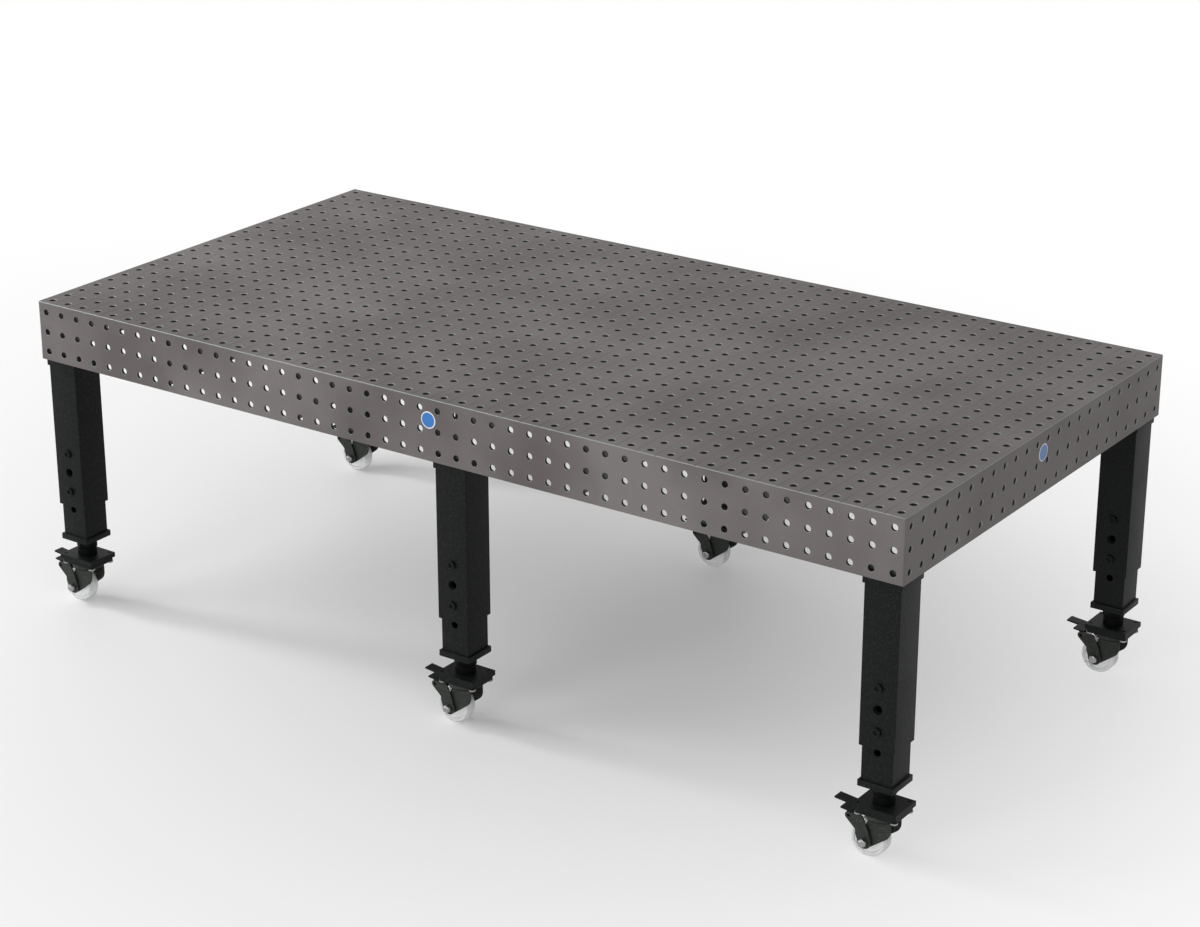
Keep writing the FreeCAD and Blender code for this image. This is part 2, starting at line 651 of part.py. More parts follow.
# Swivel fork: crown with kingpin, raked side plates and the cheeks that carry the brake
def fork_pattern():
    axle_x, axle = "(-sizes.trail)", ("(-sizes.trail)", AXLE_HEIGHT)
    foot_x = f"({axle_x} + {BOSS_RADIUS} * sin(sizes.fork_rake))"
    foot_z = f"({AXLE_HEIGHT} - {BOSS_RADIUS} * cos(sizes.fork_rake))"
    shoulder = ("sizes.crown_front", f"{foot_z} + (sizes.crown_front - {foot_x}) * tan(sizes.fork_rake)")
    side_corners = [
        ("-sizes.crown_rear", CROWN_TOP),
        ("sizes.crown_front", CROWN_TOP),
        shoulder,
        (foot_x, foot_z),
        (f"{axle_x} - {BOSS_RADIUS}", AXLE_HEIGHT),
    ]
    boss = [(axle, "sizes.axle_boss")]
    side = side_plate("fork_side", side_corners, boss, "sizes.fork_gauge", soft=[shoulder])
    tip_radius = "sizes.cheek_tip / 2"
    cheek_top = f"sizes.pivot_height + {tip_radius}"
    cheek_corners = [
        ("-sizes.pivot_reach", cheek_top),
        ("-sizes.crown_rear - sizes.cheek_gap", cheek_top),
        ("-sizes.crown_rear", "sizes.pivot_height - sizes.cheek_waist"),
        (f"{axle_x} + {BOSS_RADIUS} * cos(45)", f"{AXLE_HEIGHT} + {BOSS_RADIUS} * sin(45)"),
        (f"{axle_x} - {BOSS_RADIUS}", AXLE_HEIGHT),
        ("-sizes.cheek_back", f"sizes.pivot_height - sizes.cheek_shoulder - {tip_radius}"),
        ("-sizes.cheek_back", "sizes.pivot_height - sizes.cheek_shoulder"),
        (f"-sizes.pivot_reach - {tip_radius} * cos(45)", f"sizes.pivot_height - {tip_radius} * sin(45)"),
    ]
    pivot = ("-sizes.pivot_reach", "sizes.pivot_height")
    rounds = boss + [(pivot, "sizes.cheek_tip")]
    cheek = side_plate("fork_cheek", cheek_corners, rounds, "sizes.cheek_gauge")
    crown_size = ("sizes.crown_rear + sizes.crown_front", f"2 * {FORK_FACE}", "sizes.fork_gauge")
    crown = box("fork_crown", ("-sizes.crown_rear", f"-{FORK_FACE}", CROWN_UNDER), crown_size)
    reach = f"{KINGPIN_ROOF} - {CROWN_UNDER} - sizes.swivel_gap"
    kingpin = rod("kingpin", "sizes.kingpin_diameter", ("0", "0", CROWN_UNDER), reach)
    plates = both_sides(side, "sizes.fork_gap / 2", "sizes.fork_gauge")
    plates += both_sides(cheek, CHEEK_INNER, "sizes.cheek_gauge")
    for index, y in enumerate((f"-{CHEEK_INNER}", FORK_FACE)):
        start, length = (axle_x, y, AXLE_HEIGHT), "sizes.cheek_offset"
        plates.append(rod("fork_spacer_%d" % index, "sizes.spacer_diameter", start, length, "Y"))
    start, through = f"-{CHEEK_FACE} - {OVERSHOOT}", f"2 * ({CHEEK_FACE} + {OVERSHOOT})"
    tools = [
        rod("fork_axle_hole", AXLE_BORE, (axle_x, start, AXLE_HEIGHT), through, "Y"),
        rod("fork_pivot_hole", PIVOT_BORE, (pivot[0], start, pivot[1]), through, "Y"),
    ]
    return cut("caster_fork", fuse("fork_blank", [crown, kingpin] + plates), tools)


# Axle bolt with its nut, and the pin that the brake pedal turns on
def pins_pattern():
    x, nut = "-sizes.trail", "sizes.axle_nut_height"
    near = f"-{CHEEK_FACE} - {nut}"
    start = (x, f"{near} - sizes.axle_tail", AXLE_HEIGHT)
    reach = f"2 * {CHEEK_FACE} + {nut} + sizes.axle_tail"
    shank = rod("axle_shank", "sizes.axle_diameter", start, reach, "Y")
    far, thickness = (x, CHEEK_FACE, AXLE_HEIGHT), "sizes.axle_head_height"
    head = hexagon("axle_head", "sizes.axle_nut_flats", far, thickness, "Y")
    blank = hexagon("axle_nut_hex", "sizes.axle_nut_flats", (x, near, AXLE_HEIGHT), nut, "Y")
    bore_start = (x, f"{near} - {OVERSHOOT}", AXLE_HEIGHT)
    bore = rod("axle_nut_bore", AXLE_BORE, bore_start, f"{nut} + 2 * {OVERSHOOT}", "Y")
    pivot = ("-sizes.pivot_reach", f"-{CHEEK_FACE}", "sizes.pivot_height")
    pin = rod("brake_pin", "sizes.pivot_diameter", pivot, f"2 * {CHEEK_FACE}", "Y")
    return group("axle_and_pin", [fuse("axle_bolt", [shank, head]), cut("axle_nut", blank, [bore]), pin])


# Wheel turned about its axle, with a recessed web between rim and hub
def wheel_pattern():
    body = doc.addObject("PartDesign::Body", "wheel")
    tread, side = "sizes.wheel_diameter / 2", "sizes.wheel_width / 2"
    bore, hub = f"{AXLE_BORE} / 2", "sizes.hub_diameter / 2"
    hub_end, web = "(sizes.fork_gap / 2 - sizes.hub_play)", f"({side} - sizes.wheel_recess)"
    rim, edge = f"{tread} - sizes.wheel_rim", f"{tread} - sizes.wheel_edge"
    half = [
        (bore, hub_end),
        (hub, hub_end),
        (hub, web),
        (rim, web),
        (rim, side),
        (edge, side),
        (tread, f"({side} - sizes.wheel_edge)"),
    ]
    lower = [(radius, f"-{level}") for radius, level in half]
    sketch = outline(body, "wheel_profile", "XY_Plane", lower + half[::-1])
    turned = body.newObject("PartDesign::Revolution", "wheel_turned")
    turned.Profile = sketch
    turned.ReferenceAxis = (sketch, ["V_Axis"])
    turned.Angle = 360
    return body


# Double brake pedal: a long and a short plate on one barrel, with the shoe that meets the wheel
def pedal_pattern():
    root, gauge = "-sizes.pedal_root", "sizes.pedal_gauge"
    width = "sizes.pedal_half_width"
    plates = []
    for name, y in (("long_pedal", width), ("short_pedal", "0")):
        reach = f"sizes.{name}_reach"
        tip = f"sizes.pedal_root_height + ({reach} - sizes.pedal_root) * tan(sizes.pedal_tilt)"
        corners = [
            (root, "sizes.pedal_root_height"),
            (f"-{reach}", tip),
            (f"-{reach}", f"{tip} - {gauge}"),
            (root, f"sizes.pedal_root_height - {gauge}"),
        ]
        plates.append(move(side_plate(name, corners, [], width), y=y))
    half = f"({CHEEK_INNER} - sizes.hub_play)"
    pivot = ("-sizes.pivot_reach", f"-{half}", "sizes.pivot_height")
    barrel = rod("pedal_barrel_bar", "sizes.pedal_barrel", pivot, f"2 * {half}", "Y")
    web_low = "-sizes.pivot_reach - sizes.pedal_barrel / 2"
    web_size = (
        "sizes.pivot_reach + sizes.pedal_barrel / 2 - sizes.pedal_root",
        f"2 * {width}",
        f"sizes.pedal_root_height - {gauge} / 2 - sizes.pivot_height",
    )
    web = box("pedal_web", (web_low, f"-{width}", "sizes.pivot_height"), web_size)
    parts = plates + [barrel, web, brake_shoe()]
    bore = rod("pedal_bore", PIVOT_BORE, pivot, f"2 * {half}", "Y")
    return cut("brake_pedal", fuse("pedal_blank", parts), [bore])


def brake_shoe():
    """A block that points past the wheel and swings in to the tread when the pedal goes down."""
    rise, run = f"sizes.pivot_height - {AXLE_HEIGHT}", "sizes.pivot_reach - sizes.trail"
    reach = f"sqrt(({rise})^2 + ({run})^2) - {AXLE_HEIGHT} - sizes.shoe_gap"
    half = "sizes.shoe_thickness / 2"
    corners = [("0", f"-{half}"), (reach, f"-{half}"), (reach, half), ("0", half)]
    shoe = side_plate("brake_shoe", corners, [], "sizes.shoe_width")
    down = Rotation(Vector(0, 1, 0), 1)
    move(shoe, "-sizes.pivot_reach", "sizes.shoe_width / 2", "sizes.pivot_height", down)
    lean = f"atan2({rise}; {run}) + (sizes.pedal_travel + sizes.shoe_lead) * 1 deg"
    shoe.setExpression("Placement.Rotation.Angle", lean)
    return shoe


def moving_leg_parts():
    """The pieces of each leg that slide, swivel, roll or tilt."""
    patterns = {
        "inner_leg": inner_leg_pattern(),
        "levelling_stem": stem_pattern(),
        "caster_plate": caster_plate_pattern(),
        "plate_bolts": plate_bolt_pattern(),
        "caster_fork": fork_pattern(),
        "axle_and_pin": pins_pattern(),
        "brake_pedal": pedal_pattern(),
    }
    wheel = wheel_pattern()
    for leg, (x, y) in LEGS.items():
        for piece, pattern in patterns.items():
            node(placed(f"{leg}_{piece}_copy", pattern, x, y), f"{leg}_{piece}")
        node(placed(f"{leg}_wheel_copy", wheel, f"{x} - sizes.trail", y, AXLE_HEIGHT), f"{leg}_wheel")


def check_and_write():
    """Stop on any failed object or bad shape, then write one file for each node."""
    doc.recompute()
    failed = [thing.Label for thing in doc.Objects if {"Invalid", "Error"} & set(thing.State)]
    if failed:
        raise RuntimeError("failed objects: " + ", ".join(failed))
    for feature in pockets:
        if feature.Shape.Volume >= feature.BaseFeature.Shape.Volume:
            raise RuntimeError("nothing cut away: " + feature.Label)
    for piece in nodes:
        if piece.Shape.isNull() or not piece.Shape.isValid():
            raise RuntimeError("bad shape: " + piece.Label)
    os.makedirs("parts", exist_ok=True)
    for piece in nodes:
        shape = piece.Shape
        shape.exportStep("parts/%s.step" % piece.Label)
        print("%-28s solids %2d  volume %.0f mm3" % (piece.Label, len(shape.Solids), shape.Volume))


moving_leg_parts()
fixed_leg_parts()
badges()
cross_ribs()
aprons()
top_plate()
check_and_write()
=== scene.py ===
# %% [markdown]
# # A welding fixture table
# The object is a long steel box with a grid of round holes, carried by six square telescopic legs
# on braked swivel casters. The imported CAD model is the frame: it gives the place of every piece,
# and each visible piece is modelled again here with finer edges and a finish of its own.

import math

import bmesh
import bpy
from mathutils import Matrix, Vector


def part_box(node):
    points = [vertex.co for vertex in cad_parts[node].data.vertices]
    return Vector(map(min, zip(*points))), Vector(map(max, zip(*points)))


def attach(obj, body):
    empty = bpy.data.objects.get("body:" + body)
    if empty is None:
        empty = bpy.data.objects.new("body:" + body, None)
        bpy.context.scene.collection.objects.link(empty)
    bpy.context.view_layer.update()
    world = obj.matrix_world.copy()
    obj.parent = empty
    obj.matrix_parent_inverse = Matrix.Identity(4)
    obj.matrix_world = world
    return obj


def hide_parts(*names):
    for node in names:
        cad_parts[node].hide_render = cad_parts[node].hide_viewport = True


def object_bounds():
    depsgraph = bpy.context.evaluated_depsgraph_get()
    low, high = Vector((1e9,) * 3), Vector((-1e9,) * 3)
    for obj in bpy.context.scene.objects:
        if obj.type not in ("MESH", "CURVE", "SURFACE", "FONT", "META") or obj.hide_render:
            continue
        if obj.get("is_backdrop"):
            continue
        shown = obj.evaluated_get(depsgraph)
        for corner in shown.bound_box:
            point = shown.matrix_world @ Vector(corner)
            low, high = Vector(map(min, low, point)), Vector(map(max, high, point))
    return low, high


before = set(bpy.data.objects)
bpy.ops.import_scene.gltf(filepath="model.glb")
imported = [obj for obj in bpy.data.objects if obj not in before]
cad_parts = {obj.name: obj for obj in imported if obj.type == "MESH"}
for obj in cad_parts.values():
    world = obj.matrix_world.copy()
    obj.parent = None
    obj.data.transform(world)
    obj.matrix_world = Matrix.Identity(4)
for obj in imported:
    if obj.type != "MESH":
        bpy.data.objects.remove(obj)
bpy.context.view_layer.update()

# %% [markdown]
# ## Camera
# The viewpoint was worked out from the grid of holes in the top, which are taken to be 50 mm
# apart. It stands 35 degrees to the right of the front and looks down at 21 degrees through a
# long lens, so the far end of the table looks only a little smaller than the near end. The
# picture's middle lies half a pixel beside the middle of the frame, which a tiny shift of the
# lens takes up.

# %% Camera
IMAGE_WIDTH_PX = 1200
FOCAL_PX = 2859.8
HALF_PIXEL = 0.5 / 1024
SENSOR_MM = 36
SIGHT_M = 100
EYE = Vector((3.6973, -5.2186, 2.9648))
LOOK = Vector((-0.53388, 0.76252, -0.36543))

lens = bpy.data.cameras.new("camera")
lens.sensor_fit = "HORIZONTAL"
lens.sensor_width = SENSOR_MM
lens.lens = FOCAL_PX * SENSOR_MM / IMAGE_WIDTH_PX
lens.shift_x = -HALF_PIXEL
lens.clip_end = SIGHT_M
camera = bpy.data.objects.new("camera", lens)
camera.location = EYE
camera.rotation_euler = LOOK.to_track_quat("-Z", "Y").to_euler()
bpy.context.scene.collection.objects.link(camera)
bpy.context.scene.camera = camera
print("lens of", round(lens.lens, 1), "mm")

# %% [markdown]
# ## Helpers for materials
# Colours are written as sRGB hex values, as one reads them off a screen, and one function turns
# them into the linear values that shaders work with. A second small function adds a node, sets
# its options and joins its inputs, so that a whole finish reads as a short list. Pattern sizes
# are thought of in millimetres, while a texture's scale counts repeats in a metre.

# %% Colour and node helpers
MM = 0.001


def linear(hex_colour):
    """Linear RGBA of an sRGB hex colour."""
    channels = [int(hex_colour[i:i + 2], 16) / 255 for i in (1, 3, 5)]
    curve = [c / 12.92 if c <= 0.04045 else ((c + 0.055) / 1.055) ** 2.4 for c in channels]
    return (*curve, 1.0)


def add(tree, kind, inputs=None, **options):
    """Add one node, set its options, and join or set its inputs."""
    node = tree.nodes.new(kind)
    for option, value in options.items():
        setattr(node, option, value)
    for socket, value in (inputs or {}).items():
        if isinstance(value, bpy.types.NodeSocket):
            tree.links.new(value, node.inputs[socket])
        else:
            node.inputs[socket].default_value = value
    return node


def finish_named(name):
    """A new material with its node tree and its shader, ready for a finish."""
    material = bpy.data.materials.new(name)
    material.use_nodes = True
    return material, material.node_tree, material.node_tree.nodes["Principled BSDF"]


def per_metre(size_mm):
    """Texture scale that gives a pattern of about this size."""
    return 1 / (size_mm * MM)


print("the screen's middle grey is", round(linear("#808080")[0], 3), "in linear light")

# %% [markdown]
# ## Ground steel plate
# The top and aprons look like hot-rolled plate, ground and oiled: a warm mid grey with a dull
# shine. On such plate wide soft blotches come from the rolling and the oil, and fine grain from
# the grinding belt. Both are noise textures on the object's own coordinates. The grain is drawn
# coarser than real grinding marks so that it shows at all. The oil film hides most of the
# metal's mirror, so the shader is only partly metallic.

# %% Ground steel plate
BLOTCH_MM = 340
BELT_GRAIN_MM = 6


def ground_steel():
    material, tree, shader = finish_named("ground_steel_plate")
    place = add(tree, "ShaderNodeTexCoord").outputs["Object"]
    blotch = add(tree, "ShaderNodeTexNoise",
                 {"Vector": place, "Scale": per_metre(BLOTCH_MM), "Detail": 3.0})
    tone = add(tree, "ShaderNodeValToRGB", {"Fac": blotch.outputs["Fac"]})
    tone.color_ramp.elements[0].position = 0.34
    tone.color_ramp.elements[0].color = linear("#5d5857")
    tone.color_ramp.elements[1].position = 0.66
    tone.color_ramp.elements[1].color = linear("#74706f")
    grain = add(tree, "ShaderNodeTexNoise",
                {"Vector": place, "Scale": per_metre(BELT_GRAIN_MM), "Detail": 4.0})
    speck = add(tree, "ShaderNodeMapRange",
                {"Value": grain.outputs["Fac"], "To Min": 0.94, "To Max": 1.06})
    colour = add(tree, "ShaderNodeMix", data_type="RGBA", blend_type="MULTIPLY",
                 inputs={0: 1.0, 6: tone.outputs["Color"], 7: speck.outputs["Result"]})
    dull = add(tree, "ShaderNodeMapRange",
               {"Value": blotch.outputs["Fac"], "To Min": 0.48, "To Max": 0.64})
    relief = add(tree, "ShaderNodeBump",
                 {"Height": grain.outputs["Fac"], "Strength": 0.06, "Distance": 0.3 * MM})
    tree.links.new(colour.outputs[2], shader.inputs["Base Color"])
    tree.links.new(dull.outputs["Result"], shader.inputs["Roughness"])
    tree.links.new(relief.outputs["Normal"], shader.inputs["Normal"])
    shader.inputs["Metallic"].default_value = 0.3
    shader.inputs["Specular IOR Level"].default_value = 0.2
    return material


STEEL = ground_steel()
print("made", STEEL.name)

# %% [markdown]
# ## Painted highlights on edges, painted shade and light in bores
# Chamfers and the mouths of the holes are given a paler colour than the faces, a painted
# highlight, so every edge and every mouth of a hole carries a thin pale line. The bores are
# painted dark, which stands in for the shade inside the holes. In the end aprons their first
# millimetres are painted pale, which stands in for the light that falls just inside the mouth. All
# three are one kind of steel in another tone, so one function makes them. Each gives the eye a
# fine line of contrast that tells a hole from a painted dot.

# %% Edge highlight, bore shade and bore mouth light
CUT_STREAK_MM = 8


def mottled(name, dark, pale, size_mm, detail, metallic, roughness):
    """A finish whose tone wanders softly between two colours."""
    material, tree, shader = finish_named(name)
    place = add(tree, "ShaderNodeTexCoord").outputs["Object"]
    cloud = add(tree, "ShaderNodeTexNoise",
                {"Vector": place, "Scale": per_metre(size_mm), "Detail": detail})
    tone = add(tree, "ShaderNodeValToRGB", {"Fac": cloud.outputs["Fac"]})
    tone.color_ramp.elements[0].color = linear(dark)
    tone.color_ramp.elements[1].color = linear(pale)
    tree.links.new(tone.outputs["Color"], shader.inputs["Base Color"])
    shader.inputs["Metallic"].default_value = metallic
    shader.inputs["Roughness"].default_value = roughness
    return material


# Painted highlight: a paler colour on chamfers and on the mouths of holes.
EDGE_HIGHLIGHT = mottled("painted_edge_highlight", "#7c7f7f", "#8c8f8f", CUT_STREAK_MM, 3.0, 0.3, 0.55)
# Painted shade: a dark colour on the bore walls for the shade inside the holes.
BORE_SHADE = mottled("painted_bore_shade", "#252827", "#303332", CUT_STREAK_MM, 3.0, 0.2, 0.7)
# Painted light: a pale band just inside the bore mouths of the end aprons.
BORE_MOUTH_LIGHT = mottled("painted_bore_mouth_light", "#b2b5b4", "#c2c5c4", CUT_STREAK_MM, 3.0, 0.3, 0.5)
DRILLED_STEEL = (STEEL, EDGE_HIGHLIGHT, BORE_SHADE, BORE_MOUTH_LIGHT)
print("made", EDGE_HIGHLIGHT.name, BORE_SHADE.name, BORE_MOUTH_LIGHT.name)

# %% [markdown]
# ## Black finishes
# Legs and caster plates are steel with a fine-textured black powder coat. The baked powder leaves
# tiny bumps that catch light, and that light is painted into the colour as pale specks, painted
# glints on top of the drawn bumps. Real grains are about half a millimetre; they are drawn at
# 4.5 mm here so that they still show from this distance. The forks and raceways take a greyer copy
# of the coat, and the seat lips take it as painted light. A near-black copy that hardly shines is
# painted shade on the nuts and bosses under the feet and round the lower edge of the raceways. A
# black surface is mostly seen by its sheen, so each finish sets how strongly it mirrors.

# %% Powder coat, its greyer copy and its near-black painted-shade copy
POWDER_GRAIN_MM = 4.5
COAT_CLOUD_MM = 90


def powder_coat(name, dark, pale, specular):
    material, tree, shader = finish_named(name)
    place = add(tree, "ShaderNodeTexCoord").outputs["Object"]
    grain = add(tree, "ShaderNodeTexNoise",
                {"Vector": place, "Scale": per_metre(POWDER_GRAIN_MM), "Detail": 2.0})
    cloud = add(tree, "ShaderNodeTexNoise",
                {"Vector": place, "Scale": per_metre(COAT_CLOUD_MM), "Detail": 2.0})
    # The pale specks of the grain are painted glints, set on top of the bumps.
    tone = add(tree, "ShaderNodeValToRGB", {"Fac": grain.outputs["Fac"]})
    tone.color_ramp.elements[0].position = 0.5
    tone.color_ramp.elements[0].color = linear(dark)
    tone.color_ramp.elements[1].position = 0.78
    tone.color_ramp.elements[1].color = linear(pale)
    dull = add(tree, "ShaderNodeMapRange",
               {"Value": cloud.outputs["Fac"], "To Min": 0.42, "To Max": 0.55})
    relief = add(tree, "ShaderNodeBump",
                 {"Height": grain.outputs["Fac"], "Strength": 0.22, "Distance": 0.6 * MM})
    tree.links.new(tone.outputs["Color"], shader.inputs["Base Color"])
    tree.links.new(dull.outputs["Result"], shader.inputs["Roughness"])
    tree.links.new(relief.outputs["Normal"], shader.inputs["Normal"])
    shader.inputs["Specular IOR Level"].default_value = specular
    return material


COAT = powder_coat("black_powder_coat", "#0c0e0e", "#222422", 0.125)
# A greyer copy of the coat; on the seat lips it is painted light.
FORK_COAT = powder_coat("greyer_black_coat", "#282b28", "#3d413c", 0.2)
# A near-black copy that is painted shade on nuts, bosses and the raceways' lower edge.
SHADE_COAT = powder_coat("painted_shade_black", "#050606", "#101111", 0.06)
print("made", COAT.name, FORK_COAT.name, SHADE_COAT.name)

# %% [markdown]
# ## Zinc plate
# The caster bolts, the axle and its nut are zinc plated: a bright bluish grey metal whose crystals
# make it slightly uneven in tone and shine. It is a bare metal, so it is fully metallic and keeps
# the shader's own IOR.

# %% Zinc plate
ZINC_BLOOM_MM = 5


def zinc_plate():
    material, tree, shader = finish_named("zinc_plate")
    place = add(tree, "ShaderNodeTexCoord").outputs["Object"]
    bloom = add(tree, "ShaderNodeTexNoise",
                {"Vector": place, "Scale": per_metre(ZINC_BLOOM_MM), "Detail": 3.0})
    tone = add(tree, "ShaderNodeValToRGB", {"Fac": bloom.outputs["Fac"]})
    tone.color_ramp.elements[0].color = linear("#868688")
    tone.color_ramp.elements[1].color = linear("#b6b6b4")
    dull = add(tree, "ShaderNodeMapRange",
               {"Value": bloom.outputs["Fac"], "To Min": 0.22, "To Max": 0.42})
    tree.links.new(tone.outputs["Color"], shader.inputs["Base Color"])
    tree.links.new(dull.outputs["Result"], shader.inputs["Roughness"])
    shader.inputs["Metallic"].default_value = 1.0
    return material


ZINC = zinc_plate()
print("made", ZINC.name)

# %% [markdown]
# ## Cast nylon
# The wheels look like cast nylon, milky and a little see-through, so light passes into their rims
# and the floor behind them shines through. About half of the light is transmitted, and a fairly
# rough surface blurs it, which looks milky without the cost of true scattering inside.

# %% Cast nylon
NYLON_FLOW_MM = 18


def cast_nylon():
    material, tree, shader = finish_named("cast_nylon")
    place = add(tree, "ShaderNodeTexCoord").outputs["Object"]
    flow = add(tree, "ShaderNodeTexNoise",
               {"Vector": place, "Scale": per_metre(NYLON_FLOW_MM), "Detail": 2.0})
    tone = add(tree, "ShaderNodeValToRGB", {"Fac": flow.outputs["Fac"]})
    tone.color_ramp.elements[0].color = linear("#f6f7f7")
    tone.color_ramp.elements[1].color = linear("#fdfdfd")
    dull = add(tree, "ShaderNodeMapRange",
               {"Value": flow.outputs["Fac"], "To Min": 0.4, "To Max": 0.5})
    tree.links.new(tone.outputs["Color"], shader.inputs["Base Color"])
    tree.links.new(dull.outputs["Result"], shader.inputs["Roughness"])
    shader.inputs["IOR"].default_value = 1.4
    shader.inputs["Transmission Weight"].default_value = 0.55
    return material


NYLON = cast_nylon()
print("made", NYLON.name)

# %% [markdown]
# ## Enamel
# The two round badges are plain blue enamel in a pale rim. Enamel is fired glass: an even, glossy
# colour with only the faintest clouds in it, for which the same soft mottle serves.

# %% Badge enamel
ENAMEL_CLOUD_MM = 12

BLUE = mottled("blue_enamel", "#1d66ad", "#2672ba", ENAMEL_CLOUD_MM, 2.0, 0.0, 0.3)
PALE = mottled("pale_enamel", "#d2d3d4", "#dedfe0", ENAMEL_CLOUD_MM, 2.0, 0.0, 0.3)
print("made", BLUE.name, "and", PALE.name)

# %% [markdown]
# ## Helpers for pieces
# Every piece is modelled in millimetres, as on a drawing, and scaled to metres when it is done.
# A small bevel on each sharp edge catches the light as real edges do, and faces that meet at a
# shallow angle are shaded as one smooth surface. One function hands every finished shape over:
# it names the piece, gives it its finishes and hangs it on the body that carries it.

# %% Soften, join and show
CREASE = math.radians(32)


def soften(bm, width, segments=2):
    """Bevel every sharp edge of a closed shape."""
    sharp = [edge for edge in bm.edges if edge.is_manifold and edge.calc_face_angle() > CREASE]
    bmesh.ops.bevel(bm, geom=sharp, offset=width, affect="EDGES", segments=segments, profile=0.5,
                    material=-1, clamp_overlap=True)


def join(*shapes):
    """Put several shapes into one bmesh."""
    whole = bmesh.new()
    for shape in shapes:
        mesh = bpy.data.meshes.new("part")
        shape.to_mesh(mesh)
        shape.free()
        whole.from_mesh(mesh)
        bpy.data.meshes.remove(mesh)
    return whole


def show(bm, name, body, finishes, slot, *nodes):
    """Scale a shape to metres, make it a piece, and hang it on its body in place of CAD nodes."""
    bmesh.ops.scale(bm, vec=(MM, MM, MM), verts=bm.verts)
    for face in bm.faces:
        face.smooth = True
    for edge in bm.edges:
        edge.smooth = edge.is_manifold and edge.calc_face_angle() < CREASE
    mesh = bpy.data.meshes.new(name)
    bm.to_mesh(mesh)
    bm.free()
    for finish in finishes:
        mesh.materials.append(finish)
    piece = bpy.data.objects.new(name, mesh)
    bpy.context.scene.collection.objects.link(piece)
    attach(piece, body)
    if nodes:
        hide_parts(*nodes)
    return piece


print("edges sharper than", round(math.degrees(CREASE)), "degrees stay crisp")

# %% [markdown]
# ## Blocks and turned shapes
# Most pieces of the legs are flat blocks or round turned shapes. A block is a stretched cube. A
# turned shape is half of its section, spun once round the upright axis; where the section starts
# on the axis, the spin leaves many points in one place, which are merged to a clean pole.

# %% Blocks, turned shapes and moves
WHOLE_TURN = 2 * math.pi
QUARTER_TURN = math.radians(90)
UP_TO_FRONT = Matrix.Rotation(QUARTER_TURN, 3, "X")
UP_TO_BACK = Matrix.Rotation(-QUARTER_TURN, 3, "X")
UP_TO_RIGHT = Matrix.Rotation(QUARTER_TURN, 3, "Y")


def block(length, width, low, high, centre=(0, 0)):
    """A rectangular block between two levels."""
    bm = bmesh.new()
    place = Matrix.Translation((centre[0], centre[1], (low + high) / 2))
    size = Matrix.Diagonal((length, width, high - low, 1))
    bmesh.ops.create_cube(bm, size=1, matrix=place @ size)
    return bm


def turned(profile, steps=48):
    """Spin a half profile of (radius, height) points about the vertical axis."""
    bm = bmesh.new()
    verts = [bm.verts.new((radius, 0, height)) for radius, height in profile]
    edges = [bm.edges.new(pair) for pair in zip(verts, verts[1:])]
    bmesh.ops.spin(bm, geom=verts + edges, cent=(0, 0, 0), axis=(0, 0, 1), angle=WHOLE_TURN,
                   steps=steps, use_merge=True)
    bmesh.ops.remove_doubles(bm, verts=bm.verts, dist=1e-4)
    bmesh.ops.recalc_face_normals(bm, faces=bm.faces)
    return bm


def moved(bm, x=0, y=0, z=0, turn=None):
    """Turn a shape, then move it."""
    if turn:
        bmesh.ops.rotate(bm, cent=(0, 0, 0), matrix=turn, verts=bm.verts)
    bmesh.ops.translate(bm, vec=(x, y, z), verts=bm.verts)
    return bm


def new_verts(grown):
    """The vertices among what an operator returned."""
    return [item for item in grown["geom"] if isinstance(item, bmesh.types.BMVert)]


def new_edges(grown):
    """The edges among what an operator returned."""
    return [item for item in grown["geom"] if isinstance(item, bmesh.types.BMEdge)]


def loop_edges(verts):
    """Edges that have both ends among these vertices, in a fixed order."""
    inside = set(verts)
    around = dict.fromkeys(edge for vert in verts for edge in vert.link_edges)
    return [edge for edge in around if set(edge.verts) <= inside]


def paint(bm, finish):
    """Give every face of a shape one of its piece's finishes, by number."""
    for face in bm.faces:
        face.material_index = finish
    return bm


to_front = [round(v) for v in UP_TO_FRONT @ Vector((0, 0, 1))]
print("turned to the front, an arrow that points up points along", to_front)

# %% [markdown]
# ## One drilled cell
# The top has a hole every 50 mm, and fine lines scribed midway between the holes. A boolean cut
# of more than a thousand holes would leave long thin triangles, so one square cell is made with
# its hole and copied. The cell is a square face that is filled again around a circle. The circle
# is extruded down in steps: narrowing for the chamfer, then straight for a band of painted light
# at the mouth, where there is one, and for the bore. The scribed lines are the cell's own borders,
# pressed a little below the face.

# %% One drilled cell
PITCH = 50
HOLE_RADIUS = 8
HOLE_SIDES = 20
GROOVE_HALF = 0.55
GROOVE_DEPTH = 0.35
EDGE_HIGHLIGHT_SLOT, BORE_SHADE_SLOT, MOUTH_LIGHT_SLOT = 1, 2, 3


